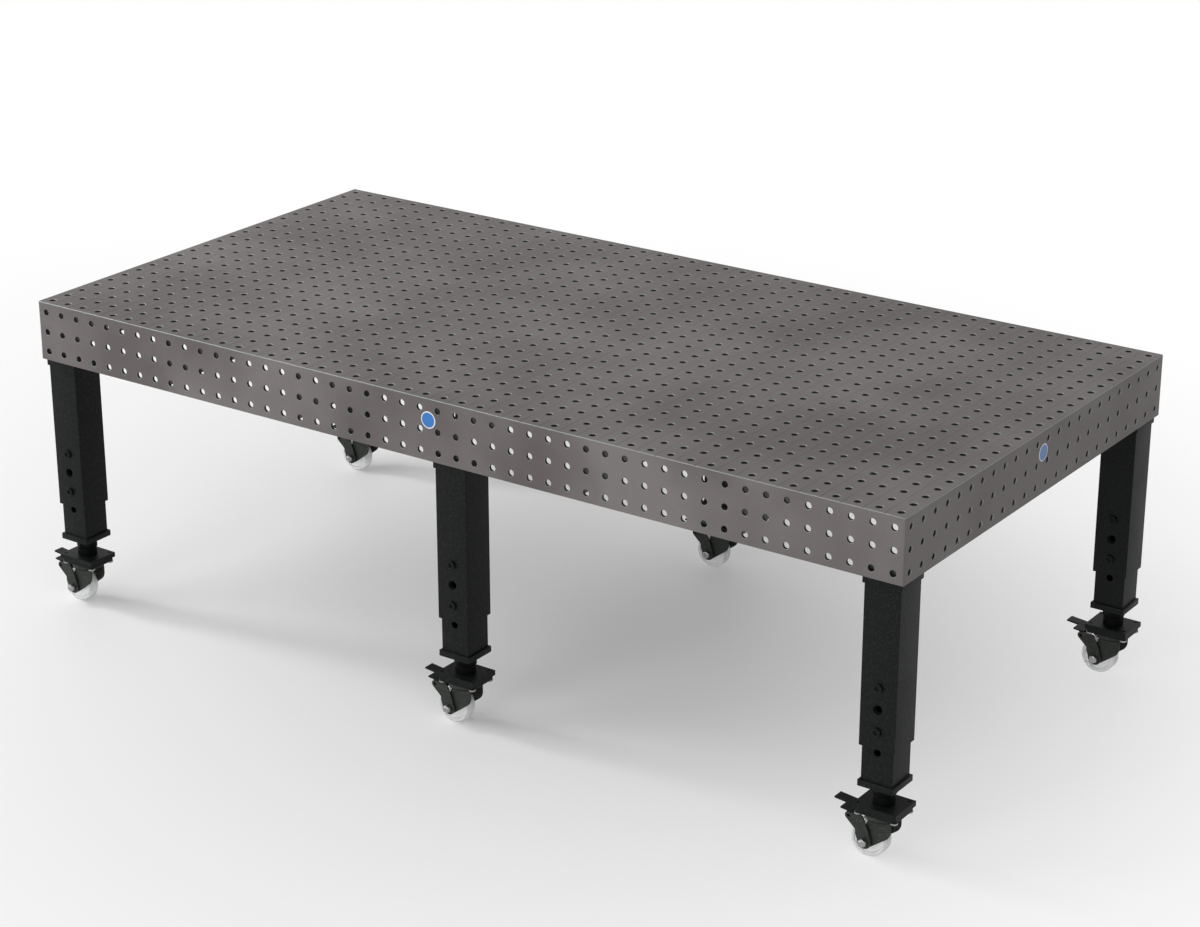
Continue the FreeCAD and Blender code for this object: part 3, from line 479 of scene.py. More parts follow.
def drilled_cell(thickness, rim, groove, bright):
    """A square of plate with a chamfered hole, face up at height zero, open at its four sides."""
    bm = bmesh.new()
    bmesh.ops.create_grid(bm, x_segments=1, y_segments=1, size=PITCH / 2)
    border = bm.verts[:]
    if groove:
        bmesh.ops.inset_region(bm, faces=bm.faces[:], use_boundary=True, use_even_offset=True,
                               thickness=GROOVE_HALF)
        bmesh.ops.translate(bm, vec=(0, 0, -GROOVE_DEPTH), verts=border)
    land = min(bm.faces, key=lambda face: face.calc_center_median().length)
    land_edges = land.edges[:]
    bmesh.ops.delete(bm, geom=[land], context="FACES_ONLY")
    mouth = bmesh.ops.create_circle(bm, segments=HOLE_SIDES, radius=HOLE_RADIUS + rim)["verts"]
    ring = loop_edges(mouth)
    bmesh.ops.triangle_fill(bm, edges=land_edges + ring, normal=(0, 0, 1), use_beauty=True)
    narrowing = HOLE_RADIUS / (HOLE_RADIUS + rim)
    steps = [(rim, narrowing), (bright, 1), (thickness - rim - bright, 1)]
    for drop, scale in [step for step in steps if step[0]]:
        grown = bmesh.ops.extrude_edge_only(bm, edges=ring)
        ring = new_edges(grown)
        bmesh.ops.scale(bm, vec=(scale, scale, 1), verts=new_verts(grown))
        bmesh.ops.translate(bm, vec=(0, 0, -drop), verts=new_verts(grown))
    lower = bmesh.ops.create_grid(bm, x_segments=1, y_segments=1, size=PITCH / 2,
                                  matrix=Matrix.Translation((0, 0, -thickness)))["verts"]
    under = lower[0].link_faces[0]
    under_edges = under.edges[:]
    bmesh.ops.delete(bm, geom=[under], context="FACES_ONLY")
    bmesh.ops.triangle_fill(bm, edges=under_edges + ring, normal=(0, 0, -1), use_beauty=True)
    # Faces of the hole take painted light and shade: a highlight on the chamfer, shade in the
    # bore, light in the mouth's band.
    for face in bm.faces:
        centre = face.calc_center_median()
        if centre.xy.length < HOLE_RADIUS + rim:
            face.material_index = EDGE_HIGHLIGHT_SLOT if centre.z > -rim else BORE_SHADE_SLOT
            if -rim > centre.z > -rim - bright:
                face.material_index = MOUTH_LIGHT_SLOT
    return bm


print("one hole of", 2 * HOLE_RADIUS, "mm in each square of", PITCH, "mm")

# %% [markdown]
# ## From a cell to a sheet
# The cell is copied along a row, and the row is then copied across. Neighbours share their
# borders, which are merged, so the sheet is one surface. The open borders of its upper and lower
# face are bridged to side walls last, once a sheet has been trimmed to its size.

# %% Drilled sheets
def repeat(bm, count, step):
    """Copy a shape in a straight row."""
    pattern = bm.verts[:] + bm.edges[:] + bm.faces[:]
    for index in range(1, count):
        copy = bmesh.ops.duplicate(bm, geom=pattern)
        bmesh.ops.translate(bm, vec=Vector(step) * index, verts=new_verts(copy))


def drilled_sheet(columns, rows, thickness, rim, groove=False, bright=0):
    """A grid of drilled cells about the origin, with shared borders merged."""
    bm = drilled_cell(thickness, rim, groove, bright)
    repeat(bm, columns, (PITCH, 0, 0))
    repeat(bm, rows, (0, PITCH, 0))
    moved(bm, -(columns - 1) * PITCH / 2, -(rows - 1) * PITCH / 2)
    bmesh.ops.remove_doubles(bm, verts=bm.verts, dist=1e-3)
    return bm


def close_sides(bm):
    """Join the open borders of the upper and lower face with side walls."""
    rim = [edge for edge in bm.edges if edge.is_boundary]
    bmesh.ops.bridge_loops(bm, edges=rim)
    bmesh.ops.recalc_face_normals(bm, faces=bm.faces)


def bevel_uprights(bm, radius, keep=lambda edge: True):
    """Round the upright outer corners of a plate."""
    uprights = []
    for edge in bm.edges:
        run = (edge.verts[1].co - edge.verts[0].co).normalized()
        square = edge.is_manifold and edge.calc_face_angle() > math.radians(80)
        if square and abs(run.z) > 0.99 and keep(edge):
            uprights.append(edge)
    bmesh.ops.bevel(bm, geom=uprights, offset=radius, affect="EDGES", segments=4, profile=0.5,
                    material=-1)
    return len(uprights)


TABLE_LENGTH, TABLE_WIDTH, TABLE_HEIGHT = 2400, 1200, 800
COLUMNS, ROWS = TABLE_LENGTH // PITCH, TABLE_WIDTH // PITCH
print("the top takes", COLUMNS, "by", ROWS, "cells")

# %% [markdown]
# ## Top plate
# The outer border of the top is a chamfer, given a paler colour that paints a highlight along the
# table's edge, and the four upright corners are rounded a little. The scribed border of the outer
# cells becomes that chamfer: its inner line moves inwards and its outer line down.

# %% Top plate
PLATE_THICKNESS = 8
TOP_RIM = 1.15
EDGE_CHAMFER = 1.5
CORNER_RADIUS = 3.5


def top_plate():
    bm = drilled_sheet(COLUMNS, ROWS, PLATE_THICKNESS, TOP_RIM, groove=True)
    for axis, half in ((0, TABLE_LENGTH / 2), (1, TABLE_WIDTH / 2)):
        for side in (-1, 1):
            inward = Vector((0, 0, 0))
            inward[axis] = -side * (EDGE_CHAMFER - GROOVE_HALF)
            land = [v for v in bm.verts if abs(v.co[axis] * side - (half - GROOVE_HALF)) < 0.01]
            bmesh.ops.translate(bm, vec=inward, verts=land)
    border = [v for v in bm.verts if v.is_boundary and v.co.z > -PLATE_THICKNESS / 2]
    bmesh.ops.translate(bm, vec=(0, 0, GROOVE_DEPTH - EDGE_CHAMFER), verts=border)
    close_sides(bm)
    corners = bevel_uprights(bm, CORNER_RADIUS)
    # The border chamfer takes the painted edge highlight.
    for face in bm.faces:
        centre = face.calc_center_median()
        outward = max(abs(centre.x) - TABLE_LENGTH / 2, abs(centre.y) - TABLE_WIDTH / 2)
        if outward > -EDGE_CHAMFER and 0.3 < face.normal.z < 0.95:
            face.material_index = EDGE_HIGHLIGHT_SLOT
    moved(bm, z=TABLE_HEIGHT)
    piece = show(bm, "top_plate_drilled", "table", DRILLED_STEEL, "plate_steel", "top_plate")
    print(piece.name, len(piece.data.polygons), "faces,", corners, "rounded edges")


top_plate()

# %% [markdown]
# ## Aprons
# The aprons hang under the rim of the top with three rows of the same holes. The outer rows of
# cells are wider than the sheet, so the sheet is trimmed with straight cuts before its sides are
# closed. The long aprons run over the full length and have rounded corners; the short ones fit
# between them. At a slant one looks through the holes of the long aprons but not through those of
# the ends, so the ends are drawn as heavier sheets, with a pale band of painted light just inside
# the mouth of each bore.

# %% Aprons
APRON_THICKNESS = 7
END_THICKNESS = 12
APRON_RIM = 0.6
END_BRIGHT = 2.6
APRON_DROP = 147
APRON_ROWS = 3
APRON_HALF = APRON_ROWS * PITCH / 2
APRON_INNER = TABLE_WIDTH / 2 - APRON_THICKNESS
# For each side: quarter turns from the front, columns, thickness, depth of the painted light in
# the bores' mouths, half length if it is cut short, and distance from the middle of the table.
APRON_SIDES = {
    "front": (0, COLUMNS, APRON_THICKNESS, 0, None, TABLE_WIDTH / 2),
    "right": (1, ROWS, END_THICKNESS, END_BRIGHT, APRON_INNER, TABLE_LENGTH / 2),
    "rear": (2, COLUMNS, APRON_THICKNESS, 0, None, TABLE_WIDTH / 2),
    "left": (3, ROWS, END_THICKNESS, END_BRIGHT, APRON_INNER, TABLE_LENGTH / 2),
}


def trim(bm, axis, side, limit):
    """Cut a sheet off beyond a limit along one axis."""
    normal = Vector((0, 0, 0))
    normal[axis] = side
    bmesh.ops.bisect_plane(bm, geom=bm.verts[:] + bm.edges[:] + bm.faces[:],
                           plane_co=normal * limit, plane_no=normal, clear_outer=True, dist=1e-4)


def apron_sheet(columns, thickness, bright, half_run):
    """A drilled apron in the XY plane with its face up, trimmed to its height and length."""
    bm = drilled_sheet(columns, APRON_ROWS, thickness, APRON_RIM, bright=bright)
    trim(bm, 1, 1, APRON_HALF - PLATE_THICKNESS)
    trim(bm, 1, -1, APRON_DROP - APRON_HALF)
    if half_run:
        trim(bm, 0, 1, half_run)
        trim(bm, 0, -1, half_run)
    close_sides(bm)
    return bm


def on_outer_face(edge):
    """True for an edge on the outer face of a long apron."""
    return abs(edge.verts[0].co.y) > TABLE_WIDTH / 2 - 0.1


for side, (turns, columns, thickness, bright, half_run, reach) in APRON_SIDES.items():
    apron = moved(apron_sheet(columns, thickness, bright, half_run), turn=UP_TO_FRONT)
    moved(apron, y=-reach, z=TABLE_HEIGHT - APRON_HALF)
    moved(apron, turn=Matrix.Rotation(turns * QUARTER_TURN, 3, "Z"))
    corners = 0 if half_run else bevel_uprights(apron, CORNER_RADIUS, on_outer_face)
    piece = show(apron, side + "_apron_drilled", "table", DRILLED_STEEL, "plate_steel",
                 side + "_apron")
    print(piece.name, len(piece.data.polygons), "faces,", corners, "rounded edges")

# %% [markdown]
# ## Square tubes
# A leg is one square tube sliding in another. A tube starts as a square face with its corners
# rounded; an inset leaves the wall, and an extrusion lifts it. Each locking hole is drilled by
# taking out the flat walls, filling them again around circles, and bridging the circles, which
# keeps the tube closed where a boolean cut might not.

# %% Square tubes and holes
ALONG_Y, ALONG_Z = 1, 2


def square_tube(side, wall, corner, low, high):
    """An upright square tube with rounded corners."""
    bm = bmesh.new()
    bmesh.ops.create_grid(bm, x_segments=1, y_segments=1, size=side / 2,
                          matrix=Matrix.Translation((0, 0, low)))
    bmesh.ops.bevel(bm, geom=bm.verts[:], offset=corner, affect="VERTICES", segments=5,
                    profile=0.5, material=-1)
    inner = bm.faces[:]
    bmesh.ops.inset_region(bm, faces=inner, use_boundary=True, use_even_offset=True,
                           thickness=wall)
    bmesh.ops.delete(bm, geom=inner, context="FACES_ONLY")
    thicken(bm, (0, 0, high - low))
    return bm


def thicken(bm, vec):
    """Extrude a flat outline into a plate or tube."""
    grown = bmesh.ops.extrude_face_region(bm, geom=bm.faces[:])
    bmesh.ops.translate(bm, vec=vec, verts=new_verts(grown))
    bmesh.ops.recalc_face_normals(bm, faces=bm.faces)


def drill(bm, axis, spots, radius, segments=24):
    """Drill holes through every flat wall that faces along an axis, then line them."""
    flat = [face for face in bm.faces if abs(face.normal[axis]) > 0.999]
    walls = [face for face in flat if face.calc_area() > 4 * radius ** 2]
    circles = {spot: [] for spot in spots}
    turn = Matrix.Rotation(QUARTER_TURN, 4, "X") if axis == ALONG_Y else Matrix.Identity(4)
    for wall in sorted(walls, key=lambda face: face.calc_center_median()[axis]):
        level, normal = wall.calc_center_median()[axis], wall.normal.copy()
        edges = wall.edges[:]
        bmesh.ops.delete(bm, geom=[wall], context="FACES_ONLY")
        for spot in spots:
            centre = Vector((*spot, level))
            if axis == ALONG_Y:
                centre = Vector((spot[0], level, spot[1]))
            ring = bmesh.ops.create_circle(bm, segments=segments, radius=radius,
                                           matrix=Matrix.Translation(centre) @ turn)["verts"]
            circles[spot].append(loop_edges(ring))
            edges += circles[spot][-1]
        bmesh.ops.triangle_fill(bm, edges=edges, normal=normal, use_beauty=True)
    for rings in circles.values():
        for near, far in zip(rings[::2], rings[1::2]):
            bmesh.ops.bridge_loops(bm, edges=near + far)
    bmesh.ops.recalc_face_normals(bm, faces=bm.faces)
    return bm


print("tubes are drilled along axis", ALONG_Y, "and plates along axis", ALONG_Z)

# %% [markdown]
# ## Places of the legs
# The six legs stand in two rows under the box, and one pattern serves them all. Their places are
# read from the CAD model rather than written down a second time.

# %% Leg places
COLUMN_NAMES = ("left", "middle", "right")
LEG_NAMES = [f"{row}_{column}" for row in ("front", "rear") for column in COLUMN_NAMES]
LEG_PLACES = {}
for leg in LEG_NAMES:
    low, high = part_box(leg + "_inner_leg")
    LEG_PLACES[leg] = ((low + high) / 2 / MM).xy
print({leg: tuple(round(v, 1) for v in place) for leg, place in LEG_PLACES.items()})


def at_legs(pattern):
    """One shape made of a copy of the pattern at each leg."""
    copies = [moved(pattern.copy(), *place) for place in LEG_PLACES.values()]
    pattern.free()
    return join(*copies)


# %% [markdown]
# ## Outer sleeves
# The outer sleeves belong to the table. Each has an open hole for a locking pin, through which
# the inner leg can be seen, so the hole is a real one.

# %% Sleeves
SLEEVE_SIDE = 85
SLEEVE_WALL = 4.5
SLEEVE_CORNER = 2.2
SLEEVE_FOOT = 270
SEAT_UNDER = 664
SEAT_GAP = 0.2
PIN_LEVEL = 360
PIN_PITCH = 50
PIN_RADIUS = 11

tube = square_tube(SLEEVE_SIDE, SLEEVE_WALL, SLEEVE_CORNER, SLEEVE_FOOT, SEAT_UNDER - SEAT_GAP)
drill(tube, ALONG_Y, [(0, PIN_LEVEL)], PIN_RADIUS)
piece = show(at_legs(tube), "leg_sleeve_tubes", "table", (COAT,), "black_coat", "leg_sleeves")
print(piece.name, len(piece.data.polygons), "faces")

# %% [markdown]
# ## Leg sockets
# A sleeve stands in a square collar under a seat plate, which reaches out to the apron. The
# lowest holes over a leg show something dark close behind them, so a thin upright lip is drawn on
# the seat there. It takes the greyer copy of the coat as painted light, which keeps it from
# turning quite black.

# %% Sockets
SOCKET_SIDE = 92
SOCKET_WALL = 3.2
SOCKET_CORNER = 2
SOCKET_FOOT = 635.5
SEAT_THICKNESS = 8
SEAT_REACH = 1
LIP_GAUGE = 2
LIP_TOP = 692
LIP_LIGHT_SLOT = 1


def socket(outward):
    """A square collar under a seat plate that reaches out to the apron."""
    collar = square_tube(SOCKET_SIDE, SOCKET_WALL, SOCKET_CORNER, SOCKET_FOOT, SEAT_UNDER)
    soften(collar, 0.6, 1)
    seat_top = SEAT_UNDER + SEAT_THICKNESS
    seat = block(SOCKET_SIDE, SOCKET_SIDE + SEAT_REACH, SEAT_UNDER, seat_top,
                 (0, outward * SEAT_REACH / 2))
    soften(seat, 0.8)
    edge = SOCKET_SIDE / 2 + SEAT_REACH - LIP_GAUGE / 2
    lip = block(SOCKET_SIDE, LIP_GAUGE, seat_top, LIP_TOP, (0, outward * edge))
    # The lip's greyer coat is painted light.
    return join(collar, seat, paint(lip, LIP_LIGHT_SLOT))


collars = [moved(socket(math.copysign(1, y)), x, y) for x, y in LEG_PLACES.values()]
piece = show(join(*collars), "leg_socket_collars", "table", (COAT, FORK_COAT), "black_coat",
             "leg_sockets")
print(piece.name, len(piece.data.polygons), "faces")

# %% [markdown]
# ## Clamp screws
# Above and below the pin hole a clamp screw holds the inner leg. It is a low round head with a
# hexagon socket for the key. The head's face is filled between a circle and a hexagon, and the
# hexagon is pushed in.

# %% Clamp screws
HEAD_RADIUS = 10
HEAD_HEIGHT = 6
HEX_CORNER = math.cos(math.radians(30))
KEY_RADIUS = 5 / HEX_CORNER
KEY_DEPTH = 4


def cap_screw():
    """A socket screw head with its face up and its seat at height zero."""
    bm = bmesh.new()
    face = Matrix.Translation((0, 0, HEAD_HEIGHT))
    rim = bmesh.ops.create_circle(bm, segments=32, radius=HEAD_RADIUS, matrix=face)["verts"]
    key = bmesh.ops.create_circle(bm, segments=6, radius=KEY_RADIUS, matrix=face)["verts"]
    rim_edges, key_edges = loop_edges(rim), loop_edges(key)
    bmesh.ops.triangle_fill(bm, edges=rim_edges + key_edges, normal=(0, 0, 1), use_beauty=True)
    for edges, drop in ((rim_edges, HEAD_HEIGHT), (key_edges, KEY_DEPTH)):
        grown = bmesh.ops.extrude_edge_only(bm, edges=edges)
        bmesh.ops.translate(bm, vec=(0, 0, -drop), verts=new_verts(grown))
        bmesh.ops.edgeloop_fill(bm, edges=new_edges(grown))
    bmesh.ops.recalc_face_normals(bm, faces=bm.faces)
    soften(bm, 0.7)
    return bm


pair = [moved(cap_screw(), y=-SLEEVE_SIDE / 2, z=level, turn=UP_TO_FRONT)
        for level in (PIN_LEVEL - PIN_PITCH, PIN_LEVEL + PIN_PITCH)]
piece = show(at_legs(join(*pair)), "clamp_screw_heads", "table", (COAT,), "black_coat",
             "clamp_screws")
print(piece.name, len(piece.data.polygons), "faces")

# %% [markdown]
# ## Inner legs
# The inner tube carries a row of locking holes and stands on a thick square foot. Its shape is
# kept as a pattern for now, as are all the pieces that move with a leg, and is copied to the six
# legs when the patterns are complete.

# %% Inner legs
INNER_SIDE = 75
INNER_WALL = 4
INNER_CORNER = 2
INNER_HEAD = 560
INNER_HOLE_RADIUS = 8.5
INNER_HOLES = [(0, PIN_LEVEL + step * PIN_PITCH) for step in (-2, -1, 0, 1, 2)]
FOOT_SIDE = 85
FOOT_UNDER, FOOT_TOP = 174.5, 189.5
WELD_OVERLAP = 0.5
PATTERNS = {}


def inner_leg():
    tube = square_tube(INNER_SIDE, INNER_WALL, INNER_CORNER, FOOT_TOP - WELD_OVERLAP, INNER_HEAD)
    drill(tube, ALONG_Y, INNER_HOLES, INNER_HOLE_RADIUS)
    foot = block(FOOT_SIDE, FOOT_SIDE, FOOT_UNDER, FOOT_TOP)
    soften(foot, 1.2)
    return join(tube, foot)


PATTERNS["inner_leg"] = inner_leg()
print("inner leg of", len(PATTERNS["inner_leg"].faces), "faces")

# %% [markdown]
# ## Levelling stems
# Under the foot a hexagon lock nut and a round boss stand on the carrier plate, which is drilled
# at its corners for the caster's bolts. Boss and stud are one turned shape, and the nut is a
# six-sided cylinder with bevelled corners. Nut and boss are painted near black, which stands in
# for the shade under the foot; the plate is coated.

# %% Levelling stems
CARRIER_LENGTH, CARRIER_WIDTH = 105, 85
CARRIER_UNDER, CARRIER_TOP = 118.5, 130.5
BOLT_X, BOLT_Y = 43, 32
BOLT_SPOTS = [(x, y) for x in (-BOLT_X, BOLT_X) for y in (-BOLT_Y, BOLT_Y)]
BOLT_HOLE_RADIUS = 4.25
BOSS_AND_STUD = [(0, 130), (24, 130), (24, 149), (23, 150.4), (15, 150.4), (15, 209.5),
                 (0, 209.5)]
LOCK_NUT_FLATS = 46
LOCK_NUT_UNDER = 150.5
NUT_SHADE_SLOT = 1


def hexagon(flats, low, high, bevel):
    """A hexagon with softened edges, between two heights."""
    bm = bmesh.new()
    place = Matrix.Translation((0, 0, (low + high) / 2))
    radius = flats / 2 / HEX_CORNER
    bmesh.ops.create_cone(bm, cap_ends=True, segments=6, radius1=radius, radius2=radius,
                          depth=high - low, matrix=place)
    soften(bm, bevel)
    return bm


def levelling_stem():
    plate = block(CARRIER_LENGTH, CARRIER_WIDTH, CARRIER_UNDER, CARRIER_TOP)
    drill(plate, ALONG_Z, BOLT_SPOTS, BOLT_HOLE_RADIUS, 16)
    nut = hexagon(LOCK_NUT_FLATS, LOCK_NUT_UNDER, FOOT_UNDER, 1.6)
    # Nut and boss take the painted shade under the foot.
    return join(plate, paint(join(turned(BOSS_AND_STUD), nut), NUT_SHADE_SLOT))


PATTERNS["levelling_stem"] = levelling_stem()
print("levelling stem of", len(PATTERNS["levelling_stem"].faces), "faces")

# %% [markdown]
# ## Caster plates and bolts
# The caster's plate is bolted under the carrier plate, and the raceway that the fork swivels on
# hangs under it. The plate is a face with rounded corners, extruded to its gauge. The raceway is
# turned, with a near-black band round its lower edge that paints the shade under its overhanging
# rim. Four low zinc heads hold the plate.

# %% Caster plate, raceway and bolts
CASTER_PLATE_LENGTH, CASTER_PLATE_WIDTH = 100, 81
CASTER_PLATE_UNDER = 109
CASTER_PLATE_CORNER = 8
RACE_RADIUS, RACE_RIM = 40, 38.8
RACE_TOP, RACE_UNDER, SHADE_BAND_TOP = 110, 98.4, 100.7
RACE_FINISH, SHADE_BAND_SLOT = 1, 2
BOLT_PROFILE = [(0, 104.5), (6.6, 104.5), (8.25, 106), (8.25, 109), (4, 109), (4, 128.5),
                (0, 128.5)]


def caster_plate():
    bm = bmesh.new()
    size = Matrix.Diagonal((CASTER_PLATE_LENGTH, CASTER_PLATE_WIDTH, 1, 1))
    bmesh.ops.create_grid(bm, x_segments=1, y_segments=1, size=0.5,
                          matrix=Matrix.Translation((0, 0, CASTER_PLATE_UNDER)) @ size)
    bmesh.ops.bevel(bm, geom=bm.verts[:], offset=CASTER_PLATE_CORNER, affect="VERTICES",
                    segments=5, profile=0.5, material=-1)
    thicken(bm, (0, 0, CARRIER_UNDER - CASTER_PLATE_UNDER))
    soften(bm, 0.8)
    raceway = turned([(0, RACE_TOP), (RACE_RIM, RACE_TOP), (RACE_RADIUS, RACE_TOP - 3),
                      (RACE_RADIUS, SHADE_BAND_TOP), (RACE_RIM, RACE_UNDER), (0, RACE_UNDER)])
    # The lower band of the raceway is painted shade under its rim.
    for face in raceway.faces:
        is_shade_band = face.calc_center_median().z < SHADE_BAND_TOP
        face.material_index = SHADE_BAND_SLOT if is_shade_band else RACE_FINISH
    return join(bm, raceway)


PATTERNS["caster_plate"] = caster_plate()
PATTERNS["plate_bolts"] = join(*[moved(turned(BOLT_PROFILE, 24), x, y) for x, y in BOLT_SPOTS])
print("caster plate of", len(PATTERNS["caster_plate"].faces), "faces and bolts of",
      len(PATTERNS["plate_bolts"].faces))

# %% [markdown]
# ## Forks
# A fork of pressed steel holds the wheel, and a pair of cheeks outside it carries the brake. Each
# plate is drawn as an outline of a few corners. A vertex bevel rounds every corner to its own
# radius, for which the bevel's reach along the edges is worked out from the corner's angle, and
# the outline is then extruded to its gauge.

# %% Fork
FORK_INNER, FORK_FACE = 20.5, 24
CHEEK_INNER, CHEEK_FACE = 28, 31
CROWN_UNDER, CROWN_TOP = 94.5, 98
CROWN_LENGTH, CROWN_MIDDLE = 51, 5.5
KINGPIN_RADIUS, KINGPIN_TOP = 8, 115
SPACER_RADIUS = 14
AXLE = (-27.5, 42)
# Corners of each plate as x, z and rounding.
SIDE_CORNERS = [(-20, CROWN_TOP, 2), (31, CROWN_TOP, 3), (31, 64.8, 24), (-21.8, 25, 16.5),
                (-44.5, 25, 16.5), (-44.5, 43, 0)]
CHEEK_CORNERS = [(-75, 100.5, 8.2), (-34, 100.5, 3), (-20, 72, 12), (-11.5, 43, 14),
                 (-11, 25, 16), (-44.5, 25, 16.5), (-44.5, 43, 0), (-49.5, 56.5, 4),
                 (-49.5, 65, 6), (-75, 88.3, 8.2)]


def plate_outline(corners, y_near, gauge):
    """A plate in the XZ plane from corners of (x, z, rounding), extruded towards the back."""
    bm = bmesh.new()
    verts = [bm.verts.new((x, y_near, z)) for x, z, rounding in corners]
    bm.faces.new(verts)
    for vert, (x, z, rounding) in zip(verts, corners):
        if rounding:
            before, after = [edge.other_vert(vert).co - vert.co for edge in vert.link_edges]
            reach = rounding / math.tan(before.angle(after) / 2)
            bmesh.ops.bevel(bm, geom=[vert], offset=reach, affect="VERTICES", segments=8,
                            profile=0.5, material=-1)
    thicken(bm, (0, gauge, 0))
    soften(bm, 0.6, 1)
    return bm


def rod(radius, low, high, steps):
    """A plain round rod between two heights."""
    return turned([(0, low), (radius, low), (radius, high), (0, high)], steps)


def fork():
    parts = []
    for near in (-FORK_FACE, FORK_INNER):
        parts.append(plate_outline(SIDE_CORNERS, near, FORK_FACE - FORK_INNER))
    for near in (-CHEEK_FACE, CHEEK_INNER):
        parts.append(plate_outline(CHEEK_CORNERS, near, CHEEK_FACE - CHEEK_INNER))
    for near in (-CHEEK_INNER, FORK_FACE):
        spacer = rod(SPACER_RADIUS, 0, CHEEK_INNER - FORK_FACE, 32)
        parts.append(moved(spacer, AXLE[0], near, AXLE[1], UP_TO_BACK))
    parts.append(block(CROWN_LENGTH, 2 * FORK_INNER, CROWN_UNDER, CROWN_TOP, (CROWN_MIDDLE, 0)))
    parts.append(rod(KINGPIN_RADIUS, CROWN_UNDER, KINGPIN_TOP, 24))
    return join(*parts)


PATTERNS["caster_fork"] = fork()
print("fork of", len(PATTERNS["caster_fork"].faces), "faces")

# %% [markdown]
# ## Axles
# The axle runs through wheel, fork and cheeks, with a zinc nut on the near side, and a thin pin
# carries the brake. Both are turned upright, which is easiest to think about, and then laid over
# to the back.

# %% Axle and brake pin
PIVOT = (-66.5, 92)
ACROSS = 2 * CHEEK_FACE
AXLE_FLATS = 18
AXLE_NUT, AXLE_HEAD = 12, 7.4
AXLE_PROFILE = [(0, -13.9), (4.8, -13.9), (6, -12.7), (6, ACROSS), (0, ACROSS)]
PIN_PROFILE = [(0, 0), (3.4, 0), (4, 0.6), (4, ACROSS - 0.6), (3.4, ACROSS), (0, ACROSS)]


def axle_and_pin():
    """Axle bolt with its nut, and the brake's pin, from the near face of the fork."""
    nut = hexagon(AXLE_FLATS, -AXLE_NUT, 0, 1.8)
    bolt = turned(AXLE_PROFILE, 24)
    head = hexagon(AXLE_FLATS, ACROSS, ACROSS + AXLE_HEAD, 1.5)
    axle = moved(join(nut, bolt, head), AXLE[0], -CHEEK_FACE, AXLE[1], UP_TO_BACK)
    pin = moved(turned(PIN_PROFILE, 24), PIVOT[0], -CHEEK_FACE, PIVOT[1], UP_TO_BACK)
    return join(axle, pin)


PATTERNS["axle_and_pin"] = axle_and_pin()
print("axle and pin of", len(PATTERNS["axle_and_pin"].faces), "faces")

# %% [markdown]
# ## Wheels
# The wheel has a hub, a thinner web and a rounded tread. Half of its section is written down as
# (radius, side) points, mirrored to the other side, and spun.

# %% Wheel
WHEEL_HALF = [(6.1, 20), (15.5, 20), (17, 18.5), (17, 13), (32, 13), (32.8, 16.2), (34.2, 17),
              (37, 17), (40.3, 15.4), (42, 12)]
WHEEL_FAR = [(radius, -side) for radius, side in reversed(WHEEL_HALF)]

wheel = turned(WHEEL_HALF + WHEEL_FAR + WHEEL_HALF[:1], 64)
PATTERNS["wheel"] = moved(wheel, AXLE[0], 0, AXLE[1], UP_TO_FRONT)
print("wheel of", len(PATTERNS["wheel"].faces), "faces")

# %% [markdown]
# ## Brake pedals
# The brake is a stepped pedal, with one long and one short tread, on a barrel that turns on the
# pin. A shoe under the barrel swings in to the wheel. Each part is a plain block or outline, since
# only its silhouette shows.

# %% Brake pedal
TREAD_ROOT = -60
TREAD_GAUGE = 4
TREAD_WIDTH = 27
# Tip, height of the tip and near side of the long and the short tread.
TREADS = [(-119.5, 108, 0), (-89, 104.9, -TREAD_WIDTH)]
BARREL_HALF = 27.5
BARREL_PROFILE = [(4.05, -BARREL_HALF), (6.4, -BARREL_HALF), (7, 0.6 - BARREL_HALF),
                  (7, BARREL_HALF - 0.6), (6.4, BARREL_HALF), (4.05, BARREL_HALF),
                  (4.05, -BARREL_HALF)]
SHOE_LEAN = Matrix.Rotation(math.radians(-15), 3, "Y")


def pedal():
    parts = []
    for tip, top, near in TREADS:
        corners = [(TREAD_ROOT, 102, 0), (tip, top, 1), (tip, top - TREAD_GAUGE, 1),
                   (TREAD_ROOT, 98, 0)]
        parts.append(plate_outline(corners, near, TREAD_WIDTH))
    parts.append(block(13, 53, PIVOT[1], 100, (-66.8, 0)))
    barrel = turned(BARREL_PROFILE, 32)
    parts.append(moved(barrel, PIVOT[0], 0, PIVOT[1], UP_TO_FRONT))
    shoe = block(8, 24, -20.4, 0)
    soften(shoe, 0.8)
    parts.append(moved(shoe, PIVOT[0], 0, PIVOT[1], SHOE_LEAN))
    return join(*parts)


PATTERNS["brake_pedal"] = pedal()
print("pedal of", len(PATTERNS["brake_pedal"].faces), "faces")

# %% [markdown]
# ## From patterns to pieces
# Each pattern is now copied to the six legs, on the body that carries it: the leg slides in its
# sleeve, the fork swivels under the leg, and wheel and pedal turn in the fork. A table gives each
# pattern the last word of its pieces' names, its body, its finishes and its slot.

